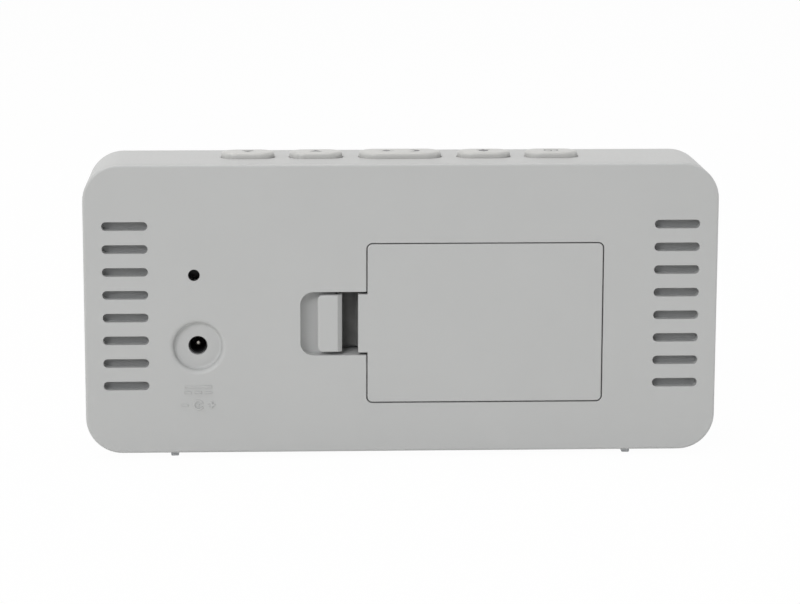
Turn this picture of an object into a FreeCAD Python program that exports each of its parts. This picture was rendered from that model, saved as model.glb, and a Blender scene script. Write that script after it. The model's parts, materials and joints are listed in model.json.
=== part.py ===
import FreeCAD, Part
import Sketcher
import math
import os

# A slab-shaped table clock that projects the time. The display faces -Y, the back faces +Y, +Z is up.
# The origin is on the table, under the middle of the case.

DOC = FreeCAD.newDocument("ProjectionClock")

SIZES = {
    # case
    "case_width": 160.0,
    "case_height": 73.8,
    "case_depth": 28.7,
    "corner_radius": 9.2,
    "wall": 2.0,
    "front_edge_rounding": 1.2,
    "back_edge_rounding": 0.6,
    # back cover
    "cover_thickness": 1.8,
    "parting_gap": 0.12,
    "lip_thickness": 1.2,
    "lip_depth": 1.4,
    "lip_clearance": 0.2,
    # foot strips
    "foot_height": 1.5,
    "foot_width": 2.0,
    "foot_from_side": 22.3,
    "foot_inset": 1.2,
    "foot_groove": 0.6,
    "foot_rounding": 0.4,
    # vents
    "vent_length": 11.5,
    "vent_width": 2.2,
    "vent_pitch": 5.83,
    "vent_count": 8,
    "vent_from_side": 10.4,
    "vent_from_top": 15.5,
    "screen_thickness": 0.4,
    "screen_margin": 0.8,
    "vent_pad": 1.2,
    # power inlet
    "jack_from_side": 28.44,
    "jack_from_bottom": 27.45,
    "jack_hole": 4.8,
    "dish_diameter": 14.6,
    "dish_wall_diameter": 12.2,
    "dish_depth": 2.1,
    "dish_hollow": 0.8,
    "dish_floor": 1.5,
    "jack_bore": 4.2,
    "jack_pin": 1.65,
    "pin_recess": 1.6,
    "pin_rounding": 0.7,
    "jack_body_width": 9.0,
    # reset hole and switch
    "reset_from_side": 27.66,
    "reset_from_bottom": 45.8,
    "reset_hole": 2.95,
    "reset_lip": 0.8,
    "reset_bore": 4.2,
    "reset_tube_wall": 0.8,
    "reset_tube_length": 5.2,
    "reset_gap": 0.5,
    "reset_plunger": 2.2,
    "reset_travel": 0.25,
    # battery door
    "door_width": 59.5,
    "door_height": 40.6,
    "door_thickness": 1.7,
    "door_corner": 1.25,
    "door_edge": 0.2,
    "door_gap": 0.3,
    "door_from_side": 29.2,
    "door_from_bottom": 12.9,
    "lug_width": 6.0,
    "lug_reach": 2.2,
    "lug_thickness": 1.0,
    "lug_root": 1.0,
    "lug_from_middle": 12.0,
    "lug_clearance": 0.15,
    # latch
    "neck_length": 2.35,
    "neck_width": 15.0,
    "spring_gap": 4.06,
    "spring_thickness": 1.0,
    "spring_depth": 9.7,
    "tab_length": 6.18,
    "tab_width": 14.65,
    "tab_thickness": 1.5,
    "tab_slope": 1.15,
    "tab_corner": 1.3,
    "tab_edge": 0.4,
    "arm_depth": 6.4,
    "nose_reach": 0.45,
    "nose_height": 1.2,
    "nose_gap": 0.75,
    "latch_gap": 0.3,
    "latch_travel": 1.2,
    "pocket_height": 16.3,
    "pocket_corner": 3.3,
    "scoop_length": 4.06,
    "scoop_depth": 3.4,
    "well_depth": 10.9,
    "well_wall": 1.2,
    # battery tray
    "cell_diameter": 10.5,
    "cell_length": 44.5,
    "cell_count": 3,
    "cell_clearance": 0.4,
    "contact_room": 3.6,
    "tray_wall": 1.2,
    "tray_flange": 2.2,
    "divider_thickness": 0.8,
    "divider_height": 3.0,
    "contact_thickness": 0.4,
    "contact_width": 7.0,
    "contact_bow": 2.4,
    "contact_nub": 1.0,
    # buttons
    "small_button_length": 13.5,
    "small_button_width": 7.8,
    "wide_button_length": 21.0,
    "wide_button_width": 9.0,
    "inner_button_place": 21.4,
    "outer_button_place": 38.7,
    "button_rise": 1.5,
    "button_gap": 0.2,
    "button_rounding": 0.8,
    "button_flange": 0.8,
    "button_flange_thickness": 1.0,
    "button_stop_gap": 0.1,
    "button_stem": 4.0,
    "button_travel": 0.6,
    # key board and its switches
    "board_thickness": 1.6,
    "key_board_drop": 7.2,
    "key_board_margin": 2.35,
    "key_board_depth": 21.4,
    "switch_width": 6.0,
    "switch_height": 3.4,
    "plunger_diameter": 3.2,
    "plunger_rise": 0.9,
    "plunger_root": 0.8,
    "plunger_clearance": 0.05,
    # display
    "window_from_side": 12.5,
    "window_from_projector": 12.2,
    "window_from_edge": 16.5,
    "lens_margin": 4.0,
    "lens_thickness": 1.1,
    "lens_gap": 0.1,
    "window_corner": 3.0,
    "glass_margin": 1.8,
    "glass_thickness": 2.0,
    "glass_gap": 0.2,
    "guide_thickness": 3.0,
    "frame_wall": 1.4,
    "frame_floor": 1.2,
    "frame_clearance": 0.15,
    "rubber_width": 2.0,
    "backlight_width": 3.0,
    "backlight_thickness": 1.4,
    # main board
    "board_setback": 9.35,
    "board_from_edge": 12.5,
    "board_margin": 3.0,
    "boss_from_edge": 4.9,
    "boss_diameter": 4.6,
    "boss_from_frame": 3.4,
    "screw_diameter": 1.8,
    "pilot_clearance": 0.05,
    "screw_length": 7.0,
    "screw_head": 3.6,
    "screw_head_height": 1.2,
    # pieces on the main board
    "chip_width": 9.0,
    "chip_thickness": 1.2,
    "chip_from_jack": 18.0,
    "crystal_diameter": 2.0,
    "crystal_length": 6.0,
    "capacitor_diameter": 5.0,
    "capacitor_length": 7.0,
    "buzzer_diameter": 12.0,
    "buzzer_height": 5.5,
    "sound_hole": 2.0,
    "buzzer_floor": 2.0,
    "lead_diameter": 1.2,
    "lead_bend": 1.5,
    # snap hooks
    "snap_place": 58.0,
    "snap_width": 6.0,
    "snap_length": 6.0,
    "snap_thickness": 1.3,
    "snap_bite": 0.6,
    # projector
    "projector_from_side": 17.5,
    "projector_from_top": 30.8,
    "drum_radius": 8.5,
    "drum_length": 20.0,
    "drum_setback": 0.3,
    "drum_side_gap": 0.3,
    "drum_clearance": 0.6,
    "axle_radius": 2.5,
    "axle_clearance": 0.05,
    "cradle_wall": 1.5,
    "scoop_rise": 13.4,
    "port_corner": 1.5,
    "ridge_count": 32,
    "ridge_radius": 0.35,
    "ridge_band": 4.0,
    "barrel_radius": 4.5,
    "ring_seat_radius": 5.0,
    "ring_thickness": 1.1,
    "ring_face": 6.6,
    "optic_gap": 0.1,
    "optic_thickness": 3.6,
    "optic_curve": 9.0,
    "slide_width": 6.0,
    "slide_thickness": 1.0,
    "led_radius": 1.5,
    # raised marks on the back
    "mark_height": 0.25,
    "mark_line": 0.45,
    "direct_line": 7.0,
    "direct_dash": 1.8,
    "direct_step": 2.6,
    "direct_drop": 3.0,
    "row_step": 1.5,
    "polarity_drop": 3.2,
    "polarity_reach": 3.4,
    "polarity_ring": 1.35,
    "polarity_dash": 1.7,
    # the smallest gap between pieces that rest side by side
    "easy_gap": 0.1,
}

SHEET = DOC.addObject("Spreadsheet::Sheet", "Sizes")
for row, (name, number) in enumerate(SIZES.items(), start=1):
    SHEET.set(f"A{row}", name)
    SHEET.set(f"B{row}", str(number))
    SHEET.setAlias(f"B{row}", name)
DOC.recompute()


class Length:
    """A length that knows its number and the formula that the document keeps for it."""

    def __init__(self, number, text):
        self.number = number
        self.text = text

    def __add__(self, other):
        other = as_length(other)
        return Length(self.number + other.number, f"({self.text} + {other.text})")

    def __sub__(self, other):
        other = as_length(other)
        return Length(self.number - other.number, f"({self.text} - {other.text})")

    def __mul__(self, other):
        other = as_length(other)
        return Length(self.number * other.number, f"({self.text} * {other.text})")

    def __truediv__(self, other):
        other = as_length(other)
        return Length(self.number / other.number, f"({self.text} / {other.text})")

    def __radd__(self, other):
        return as_length(other) + self

    def __rsub__(self, other):
        return as_length(other) - self

    def __rmul__(self, other):
        return as_length(other) * self

    def __neg__(self):
        return Length(-self.number, f"(0 - {self.text})")

    def __float__(self):
        return float(self.number)


def as_length(value):
    if isinstance(value, Length):
        return value
    return Length(value, str(value))


class Size:
    """Each name in the sheet, as a Length."""

    def __getattr__(self, name):
        return Length(float(SHEET.get(name)), "Sizes." + name)


size = Size()

# Planes and lines that several pieces share

BACK = size.case_depth / 2
FRONT = -BACK
SIDE = size.case_width / 2
BOTTOM = size.foot_height
TOP = size.foot_height + size.case_height
MIDDLE = size.foot_height + size.case_height / 2
COVER_INSIDE = BACK - size.cover_thickness
HOUSING_END = COVER_INSIDE - size.parting_gap
FRONT_INSIDE = FRONT + size.wall
BOARD_FRONT = FRONT_INSIDE + size.board_setback
BOARD_BACK = BOARD_FRONT + size.board_thickness

DOOR_X = size.door_from_side + size.door_width / 2 - SIDE
DOOR_Z = BOTTOM + size.door_from_bottom + size.door_height / 2
DOOR_INSIDE = BACK - size.door_thickness
LUG_EDGE = DOOR_X - size.door_width / 2
NECK_START = DOOR_X + size.door_width / 2
NECK_END = NECK_START + size.neck_length
TAB_START = NECK_END + size.spring_gap
TAB_END = TAB_START + size.tab_length
SCOOP_START = TAB_END + size.latch_gap
SCOOP_END = SCOOP_START + size.scoop_length
WELL_END = TAB_START + size.spring_thickness + size.nose_gap

JACK_X = SIDE - size.jack_from_side
JACK_Z = BOTTOM + size.jack_from_bottom
RESET_X = SIDE - size.reset_from_side
RESET_Z = BOTTOM + size.reset_from_bottom

KEY_BOARD_TOP = TOP - size.wall - size.key_board_drop
SWITCH_TOP = KEY_BOARD_TOP + size.switch_height
PLUNGER_TOP = SWITCH_TOP + size.plunger_rise

DRUM_X = size.projector_from_side - SIDE
DRUM_Y = FRONT + size.drum_setback + size.drum_radius
DRUM_Z = TOP - size.projector_from_top
CRADLE_EDGE = DRUM_X + size.drum_length / 2 + size.drum_side_gap + size.cradle_wall

WINDOW_RIGHT = SIDE - size.window_from_side
WINDOW_LEFT = CRADLE_EDGE + size.window_from_projector
WINDOW_WIDTH = WINDOW_RIGHT - WINDOW_LEFT
WINDOW_HEIGHT = size.case_height - 2 * size.window_from_edge
WINDOW_X = (WINDOW_RIGHT + WINDOW_LEFT) / 2
GLASS_FRONT = FRONT_INSIDE + size.glass_gap
GUIDE_FRONT = GLASS_FRONT + size.glass_thickness + size.easy_gap
GLASS_WIDTH = WINDOW_WIDTH + 2 * size.glass_margin
GLASS_HEIGHT = WINDOW_HEIGHT + 2 * size.glass_margin
FRAME_WIDTH = GLASS_WIDTH + 2 * size.frame_clearance + 2 * size.frame_wall
FRAME_HEIGHT = GLASS_HEIGHT + 2 * size.frame_clearance + 2 * size.frame_wall
BOARD_WIDTH = FRAME_WIDTH + 2 * size.board_margin + size.boss_diameter
BOARD_HEIGHT = size.case_height - 2 * size.board_from_edge
BOARD_LOW = BOTTOM + size.board_from_edge
BOARD_RIGHT = WINDOW_X + BOARD_WIDTH / 2

TRAY_LENGTH = size.cell_length + 2 * size.contact_room
TRAY_HEIGHT = size.cell_count * (size.cell_diameter + size.cell_clearance)
TRAY_FLOOR = DOOR_INSIDE - size.cell_diameter - 2 * size.cell_clearance

FOOT_X = SIDE - size.foot_from_side

NODES = {}


# Ways to draw and to build

def keep(name, thing):
    """Names a finished piece."""
    thing.Label = name
    NODES[name] = thing
    return thing


def bind(thing, where, length):
    thing.setExpression(where, as_length(length).text)


def new_body(name, place=(0, 0, 0)):
    body = DOC.addObject("PartDesign::Body", name)
    for letter, length in zip("xyz", place):
        bind(body, "Placement.Base." + letter, length)
    return keep(name, body)


PLANES = {"front": "XZ_Plane", "top": "XY_Plane", "side": "YZ_Plane"}
NORMAL = {"front": -1, "top": 1, "side": 1}


def draw_on(body, name, plane, distance):
    """A sketch parallel to an origin plane, at a distance along Y, Z or X."""
    drawing = body.newObject("Sketcher::SketchObject", body.Name + "_" + name)
    origin_plane = [part for part in body.Origin.OriginFeatures if part.Role == PLANES[plane]][0]
    drawing.AttachmentSupport = [(origin_plane, "")]
    drawing.MapMode = "FlatFace"
    bind(drawing, "AttachmentOffset.Base.z", NORMAL[plane] * as_length(distance))
    return drawing


def vector(across, up):
    return FreeCAD.Vector(float(across), float(up), 0)


def constrain(drawing, length, kind, *where):
    index = drawing.addConstraint(Sketcher.Constraint(kind, *where, float(length)))
    bind(drawing, f"Constraints[{index}]", length)


def pin(drawing, shape, point, across, up):
    """Holds a point of the drawing at its place."""
    constrain(drawing, as_length(across), "DistanceX", -1, 1, shape, point)
    constrain(drawing, as_length(up), "DistanceY", -1, 1, shape, point)


def circle(drawing, across, up, radius):
    round_line = Part.Circle(vector(across, up), FreeCAD.Vector(0, 0, 1), float(radius))
    shape = drawing.addGeometry(round_line)
    pin(drawing, shape, 3, across, up)
    constrain(drawing, as_length(radius), "Radius", shape)


def polygon(drawing, corners):
    """A closed outline of straight lines, each corner held at its place."""
    count = len(corners)
    lines = []
    for index in range(count):
        start = vector(*corners[index])
        end = vector(*corners[(index + 1) % count])
        lines.append(drawing.addGeometry(Part.LineSegment(start, end)))
    for index in range(count):
        drawing.addConstraint(Sketcher.Constraint("Coincident", lines[index - 1], 2, lines[index], 1))
        pin(drawing, lines[index], 1, *corners[index])


def rectangle(drawing, across, up, width, height):
    left, right = across - width / 2, across + width / 2
    low, high = up - height / 2, up + height / 2
    polygon(drawing, [(left, low), (right, low), (right, high), (left, high)])


def rounded_outline(drawing, centres, radius):
    """Quarter or half circles about the centres, in turn anticlockwise, joined by straight lines."""
    count = len(centres)
    turn = 2 * math.pi / count
    start = -math.pi / 2 if count == 2 else math.pi
    arcs = []
    lines = []
    for index, (across, up) in enumerate(centres):
        around = Part.Circle(vector(across, up), FreeCAD.Vector(0, 0, 1), float(radius))
        first = start + index * turn
        arcs.append(drawing.addGeometry(Part.ArcOfCircle(around, first, first + turn)))
        pin(drawing, arcs[-1], 3, across, up)
        constrain(drawing, as_length(radius), "Radius", arcs[-1])
    for index in range(count):
        here, there = centres[index], centres[(index + 1) % count]
        angle = start + (index + 1) * turn
        out = vector(radius * math.cos(angle), radius * math.sin(angle))
        lines.append(drawing.addGeometry(Part.LineSegment(vector(*here) + out, vector(*there) + out)))
    for index in range(count):
        following = arcs[(index + 1) % count]
        drawing.addConstraint(Sketcher.Constraint("Tangent", arcs[index], 2, lines[index], 1))
        drawing.addConstraint(Sketcher.Constraint("Tangent", lines[index], 2, following, 1))


def rounded_rectangle(drawing, across, up, width, height, radius):
    left, right = across - width / 2 + radius, across + width / 2 - radius
    low, high = up - height / 2 + radius, up + height / 2 - radius
    rounded_outline(drawing, [(left, low), (right, low), (right, high), (left, high)], radius)


def stadium(drawing, across, up, length, width):
    """A slot outline that runs across, with half circles at its ends."""
    half = length / 2 - width / 2
    rounded_outline(drawing, [(across + half, up), (across - half, up)], width / 2)


def add_feature(body, kind, name, drawing, length, backwards):
    before = body.Shape.Volume if body.Tip else 0.0
    feature = body.newObject("PartDesign::" + kind, body.Name + "_" + name)
    feature.Profile = drawing
    feature.Reversed = backwards
    bind(feature, "Length", length)
    drawing.Visibility = False
    DOC.recompute()
    grew = body.Shape.Volume - before
    if (kind == "Pad") != (grew > 0) or abs(grew) < 1e-6:
        raise ValueError(f"{feature.Name} changes nothing, or the wrong way: {grew:.4f}")
    return feature


def plane_of(drawing):
    role = drawing.AttachmentSupport[0][0].Role
    return [plane for plane, its_role in PLANES.items() if its_role == role][0]


def pad(body, name, drawing, length, towards):
    """Grows the drawing along its axis, towards + or -."""
    return add_feature(body, "Pad", name, drawing, length, towards * NORMAL[plane_of(drawing)] < 0)


def pocket(body, name, drawing, length, towards):
    """Cuts the drawing into the body along its axis, towards + or -."""
    return add_feature(body, "Pocket", name, drawing, length, towards * NORMAL[plane_of(drawing)] > 0)


def edges_where(shape, wanted):
    names = []
    for index, edge in enumerate(shape.Edges, start=1):
        if wanted(edge.BoundBox):
            names.append(f"Edge{index}")
    if not names:
        raise ValueError("no edge lies where one should")
    return names


def round_edges(body, name, radius, wanted, kind="Fillet"):
    base = body.Tip
    feature = body.newObject("PartDesign::" + kind, body.Name + "_" + name)
    feature.Base = (base, edges_where(base.Shape, wanted))
    bind(feature, "Radius" if kind == "Fillet" else "Size", radius)
    DOC.recompute()
    return feature


def near(one, other):
    return abs(one - float(other)) < 1e-4


UPWARDS = FreeCAD.Rotation()
DOWNWARDS = FreeCAD.Rotation(FreeCAD.Vector(1, 0, 0), 180)
BACKWARDS = FreeCAD.Rotation(FreeCAD.Vector(1, 0, 0), -90)
FORWARDS = FreeCAD.Rotation(FreeCAD.Vector(1, 0, 0), 90)
ACROSS = FreeCAD.Rotation(FreeCAD.Vector(0, 1, 0), 90)


def place(thing, position, rotation=UPWARDS):
    thing.Placement = FreeCAD.Placement(FreeCAD.Vector(0, 0, 0), rotation)
    for letter, length in zip("xyz", position):
        bind(thing, "Placement.Base." + letter, length)
    return thing


def block(name, low_corner, spans):
    """A box from its low corner and its spans along X, Y and Z."""
    thing = DOC.addObject("Part::Box", name)
    for side, length in zip(("Length", "Width", "Height"), spans):
        bind(thing, side, length)
    return place(thing, low_corner)


def rod(name, base, radius, height, rotation):
    thing = DOC.addObject("Part::Cylinder", name)
    bind(thing, "Radius", radius)
    bind(thing, "Height", height)
    return place(thing, base, rotation)


def tube(name, base, radius, bore, height, rotation):
    outer = rod(name + "_outside", base, radius, height, rotation)
    inner = rod(name + "_bore", base, bore, height, rotation)
    return cut(name, outer, inner)


def join(name, things):
    thing = DOC.addObject("Part::MultiFuse", name)
    thing.Shapes = things
    return thing


def cut(name, base, tool):
    thing = DOC.addObject("Part::Cut", name)
    thing.Base = base
    thing.Tool = tool
    return thing


def group(name, things):
    """Separate solids of one kind, kept together."""
    thing = DOC.addObject("Part::Compound", name)
    thing.Links = things
    return thing


def centred_block(name, centre, front, spans):
    """A box centred in X and Z, from its front plane backwards."""
    across, up = centre
    width, depth, height = spans
    return block(name, (across - width / 2, front, up - height / 2), spans)


# Buttons: name, place along X, length, width

BUTTONS = [
    ("time", -size.outer_button_place, size.small_button_length, size.small_button_width),
    ("alarm", -size.inner_button_place, size.small_button_length, size.small_button_width),
    ("snooze", as_length(0), size.wide_button_length, size.wide_button_width),
    ("down", size.inner_button_place, size.small_button_length, size.small_button_width),
    ("up", size.outer_button_place, size.small_button_length, size.small_button_width),
]

BOSS_X = FRAME_WIDTH / 2 + size.boss_from_frame
BOSS_Z = BOARD_HEIGHT / 2 - size.boss_from_edge
MAIN_BOSSES = [(WINDOW_X + a * BOSS_X, MIDDLE + b * BOSS_Z) for a in (-1, 1) for b in (-1, 1)]
KEY_BOSS_X = (size.inner_button_place + size.outer_button_place) / 2
KEY_BOSS_Y = size.key_board_depth / 2 - size.boss_diameter / 2
KEY_BOSSES = [(a * KEY_BOSS_X, b * KEY_BOSS_Y) for a in (-1, 1) for b in (-1, 1)]
PILOT = size.screw_diameter / 2 + size.pilot_clearance


# Front housing

def make_front_housing():
    body = new_body("front_housing")
    outside = draw_on(body, "outside", "front", FRONT)
    rounded_rectangle(outside, 0, MIDDLE, size.case_width, size.case_height, size.corner_radius)
    pad(body, "block", outside, HOUSING_END - FRONT, +1)
    front = float(FRONT)
    round_edges(body, "front_edge", size.front_edge_rounding,
                lambda box: near(box.YMin, front) and near(box.YMax, front))
    inside = draw_on(body, "inside", "front", HOUSING_END)
    inner_radius = size.corner_radius - size.wall
    inner_width = size.case_width - 2 * size.wall
    inner_height = size.case_height - 2 * size.wall
    rounded_rectangle(inside, 0, MIDDLE, inner_width, inner_height, inner_radius)
    pocket(body, "hollow", inside, HOUSING_END - FRONT_INSIDE, -1)
    cut_front_openings(body)
    cut_button_holes(body)
    cut_foot_grooves(body)
    add_board_bosses(body)
    cut_snap_recesses(body)


def cut_front_openings(body):
    seat = draw_on(body, "lens_seat", "front", FRONT)
    lens_width = WINDOW_WIDTH + 2 * size.lens_margin
    lens_height = WINDOW_HEIGHT + 2 * size.lens_margin
    rounded_rectangle(seat, WINDOW_X, MIDDLE, lens_width, lens_height, size.window_corner)
    pocket(body, "seat", seat, size.lens_thickness + size.lens_gap, +1)
    window = draw_on(body, "window", "front", FRONT)
    inner_corner = size.window_corner / 2
    rounded_rectangle(window, WINDOW_X, MIDDLE, WINDOW_WIDTH, WINDOW_HEIGHT, inner_corner)
    pocket(body, "window_cut", window, size.wall, +1)
    port = draw_on(body, "projector_port", "front", FRONT)
    port_height = size.scoop_rise + size.drum_radius + size.drum_clearance
    port_middle = DRUM_Z + (size.scoop_rise - size.drum_radius - size.drum_clearance) / 2
    port_width = size.drum_length + 2 * size.drum_side_gap
    rounded_rectangle(port, DRUM_X, port_middle, port_width, port_height, size.port_corner)
    pocket(body, "port_cut", port, size.wall, +1)


def cut_button_holes(body):
    holes = draw_on(body, "button_holes", "top", TOP)
    for name, across, length, width in BUTTONS:
        gap = 2 * size.button_gap
        stadium(holes, across, 0, length + gap, width + gap)
    pocket(body, "button_cut", holes, size.wall, -1)


def cut_foot_grooves(body):
    grooves = draw_on(body, "foot_grooves", "top", BOTTOM)
    length = HOUSING_END - FRONT - 2 * size.foot_inset
    centre = (HOUSING_END + FRONT) / 2
    for side in (-1, 1):
        rectangle(grooves, side * FOOT_X, centre, size.foot_width, length)
    pocket(body, "foot_cut", grooves, size.foot_groove, +1)


def add_board_bosses(body):
    front_bosses = draw_on(body, "main_bosses", "front", FRONT + size.wall / 2)
    for across, up in MAIN_BOSSES:
        circle(front_bosses, across, up, size.boss_diameter / 2)
    pad(body, "main_boss", front_bosses, BOARD_FRONT - FRONT - size.wall / 2, +1)
    front_pilots = draw_on(body, "main_pilots", "front", BOARD_FRONT)
    for across, up in MAIN_BOSSES:
        circle(front_pilots, across, up, PILOT)
    pocket(body, "main_pilot", front_pilots, size.screw_length - size.board_thickness + size.easy_gap, -1)
    top_bosses = draw_on(body, "key_bosses", "top", KEY_BOARD_TOP)
    for across, along in KEY_BOSSES:
        circle(top_bosses, across, along, size.boss_diameter / 2)
    pad(body, "key_boss", top_bosses, size.key_board_drop + size.wall / 2, +1)
    top_pilots = draw_on(body, "key_pilots", "top", KEY_BOARD_TOP)
    for across, along in KEY_BOSSES:
        circle(top_pilots, across, along, PILOT)
    pocket(body, "key_pilot", top_pilots, size.screw_length - size.board_thickness + size.easy_gap, +1)


def cut_snap_recesses(body):
    """Four catches for the back cover's hooks, in the top and bottom walls."""
    depth = size.snap_bite + size.easy_gap
    length = 2 * size.snap_thickness
    along = COVER_INSIDE - size.snap_length + length / 2
    for level, name in ((TOP - size.wall, "top"), (BOTTOM + size.wall, "bottom")):
        recess = draw_on(body, name + "_catches", "top", level)
        for side in (-1, 1):
            width = size.snap_width + 4 * size.easy_gap
            rectangle(recess, side * size.snap_place, along, width, length + 2 * size.easy_gap)
        pocket(body, name + "_catch", recess, depth, 1 if name == "top" else -1)


# Back cover

def make_back_cover():
    body = new_body("back_cover")
    outside = draw_on(body, "outside", "front", COVER_INSIDE)
    rounded_rectangle(outside, 0, MIDDLE, size.case_width, size.case_height, size.corner_radius)
    pad(body, "plate", outside, size.cover_thickness, +1)
    back = float(BACK)
    round_edges(body, "back_edge", size.back_edge_rounding,
                lambda box: near(box.YMin, back) and near(box.YMax, back))
    add_lip(body)
    add_well(body)
    cut_bay(body)
    add_power_inlet(body)
    add_reset_tube(body)
    cut_vents(body)
    add_hooks(body)
    add_marks(body)


def add_lip(body):
    inset = size.wall + size.lip_clearance
    lip = draw_on(body, "lip", "front", COVER_INSIDE)
    width = size.case_width - 2 * inset
    height = size.case_height - 2 * inset
    radius = size.corner_radius - inset
    rounded_rectangle(lip, 0, MIDDLE, width, height, radius)
    thick = size.lip_thickness
    rounded_rectangle(lip, 0, MIDDLE, width - 2 * thick, height - 2 * thick, radius - thick)
    pad(body, "lip_ring", lip, size.parting_gap + size.lip_depth, -1)


def add_room(body, name, high, depth):
    """A block inside the cover, from the door's edge to a place along X, for a room of this depth."""
    low = NECK_START - size.well_wall
    width = high + size.well_wall - low
    height = size.pocket_height + 2 * size.well_wall
    outside = draw_on(body, name, "front", COVER_INSIDE)
    rectangle(outside, low + width / 2, DOOR_Z, width, height)
    pad(body, name + "_block", outside, depth - size.cover_thickness + size.well_wall, -1)


def add_well(body):
    """The well that the latch spring dips into, and the finger scoop, whose floor runs under the tab."""
    add_room(body, "shallow_room", SCOOP_END, size.scoop_depth)
    add_room(body, "spring_room", WELL_END, size.well_depth)
    pocket_width = SCOOP_END - NECK_START + size.pocket_corner
    mouth = draw_on(body, "well_mouth", "front", BACK)
    rounded_rectangle(mouth, SCOOP_END - pocket_width / 2, DOOR_Z, pocket_width, size.pocket_height,
                      size.pocket_corner)
    pocket(body, "mouth", mouth, size.scoop_depth, -1)
    inside = draw_on(body, "well_inside", "front", COVER_INSIDE + size.easy_gap)
    inner_width = WELL_END - NECK_START
    rectangle(inside, NECK_START + inner_width / 2, DOOR_Z, inner_width, size.pocket_height)
    pocket(body, "well_cut", inside, size.well_depth - size.cover_thickness + size.easy_gap, -1)
    scoop = draw_on(body, "scoop", "top", DOOR_Z - size.pocket_height / 2)
    draw_scoop(scoop)
    pad(body, "scoop_fill", scoop, size.pocket_height, +1)


def draw_scoop(drawing):
    """The fill under the finger scoop: an arc, level beside the tab, that rises to the surface."""
    deep = BACK - size.scoop_depth
    radius = (size.scoop_length * size.scoop_length / size.scoop_depth + size.scoop_depth) / 2
    centre = (SCOOP_START, deep + radius)
    around = Part.Circle(vector(*centre), FreeCAD.Vector(0, 0, 1), float(radius))
    rise = float(radius - size.scoop_depth)
    last = -math.atan2(rise, float(size.scoop_length))
    arc = drawing.addGeometry(Part.ArcOfCircle(around, -math.pi / 2, last))
    below = deep - size.easy_gap
    floor = drawing_line(drawing, (SCOOP_START, below), (SCOOP_END, below))
    outer = drawing.addGeometry(Part.LineSegment(vector(SCOOP_END, below), vector(SCOOP_END, BACK)))
    inner = drawing.addGeometry(Part.LineSegment(vector(SCOOP_START, below), vector(SCOOP_START, deep)))
    drawing.addConstraint(Sketcher.Constraint("Coincident", floor, 2, outer, 1))
    drawing.addConstraint(Sketcher.Constraint("Coincident", floor, 1, inner, 1))
    drawing.addConstraint(Sketcher.Constraint("Coincident", arc, 1, inner, 2))
    drawing.addConstraint(Sketcher.Constraint("Coincident", arc, 2, outer, 2))
    drawing.addConstraint(Sketcher.Constraint("Vertical", outer))
    drawing.addConstraint(Sketcher.Constraint("Vertical", inner))
    constrain(drawing, centre[0], "DistanceX", -1, 1, arc, 3)
    constrain(drawing, centre[1], "DistanceY", -1, 1, arc, 3)
    constrain(drawing, radius, "Radius", arc)


def cut_bay(body):
    bay = draw_on(body, "bay", "front", BACK)
    width = size.door_width + 2 * size.door_gap
    height = size.door_height + 2 * size.door_gap
    rounded_rectangle(bay, DOOR_X, DOOR_Z, width, height, size.door_corner + size.door_gap)
    pocket(body, "bay_cut", bay, size.cover_thickness, -1)


def add_power_inlet(body):
    """A dish with a rounded rim, a hollow edge and the jack hole in its floor, backed by a round pad."""
    backing = draw_on(body, "dish_backing", "front", COVER_INSIDE)
    circle(backing, JACK_X, JACK_Z, size.dish_diameter / 2 + size.dish_floor)
    pad(body, "dish_back", backing, size.dish_depth + size.dish_floor - size.cover_thickness, -1)
    dish = draw_on(body, "dish", "front", BACK)
    circle(dish, JACK_X, JACK_Z, size.dish_wall_diameter / 2)
    pocket(body, "dish_cut", dish, size.dish_depth, -1)
    middle = float(JACK_X)
    reach = float(size.dish_wall_diameter) / 2
    rim = (size.dish_diameter - size.dish_wall_diameter) / 2
    floor = BACK - size.dish_depth
    for name, depth, radius in (("dish_rim", BACK, rim), ("dish_edge", floor, size.dish_hollow)):
        round_edges(body, name, radius,
                    lambda box: near(box.YMin, depth) and near(box.YMax, depth)
                    and near(box.XMax, middle + reach) and near(box.XMin, middle - reach))
    hole = draw_on(body, "jack_hole", "front", BACK - size.dish_depth)
    circle(hole, JACK_X, JACK_Z, size.jack_hole / 2)
    pocket(body, "jack_cut", hole, size.dish_floor, -1)


def add_reset_tube(body):
    """A small hole in a thin lip, and behind it a wider tube that leads a pin to the switch."""
    tube_outside = draw_on(body, "reset_tube", "front", COVER_INSIDE)
    circle(tube_outside, RESET_X, RESET_Z, size.reset_bore / 2 + size.reset_tube_wall)
    pad(body, "reset_guide", tube_outside, size.reset_tube_length, -1)
    hole = draw_on(body, "reset_hole", "front", BACK)
    circle(hole, RESET_X, RESET_Z, size.reset_hole / 2)
    pocket(body, "reset_cut", hole, size.reset_lip, -1)
    bore = draw_on(body, "reset_bore", "front", BACK - size.reset_lip)
    circle(bore, RESET_X, RESET_Z, size.reset_bore / 2)
    pocket(body, "bore_cut", bore, size.cover_thickness - size.reset_lip + size.reset_tube_length, -1)


def vent_field():
    """Width, height and top of the field that holds all slots of one side, with a margin."""
    width = size.vent_length + 2 * size.screen_margin
    height = (size.vent_count - 1) * size.vent_pitch + size.vent_width + 2 * size.screen_margin
    return width, height, TOP - size.vent_from_top + size.vent_width / 2 + size.screen_margin


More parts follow.
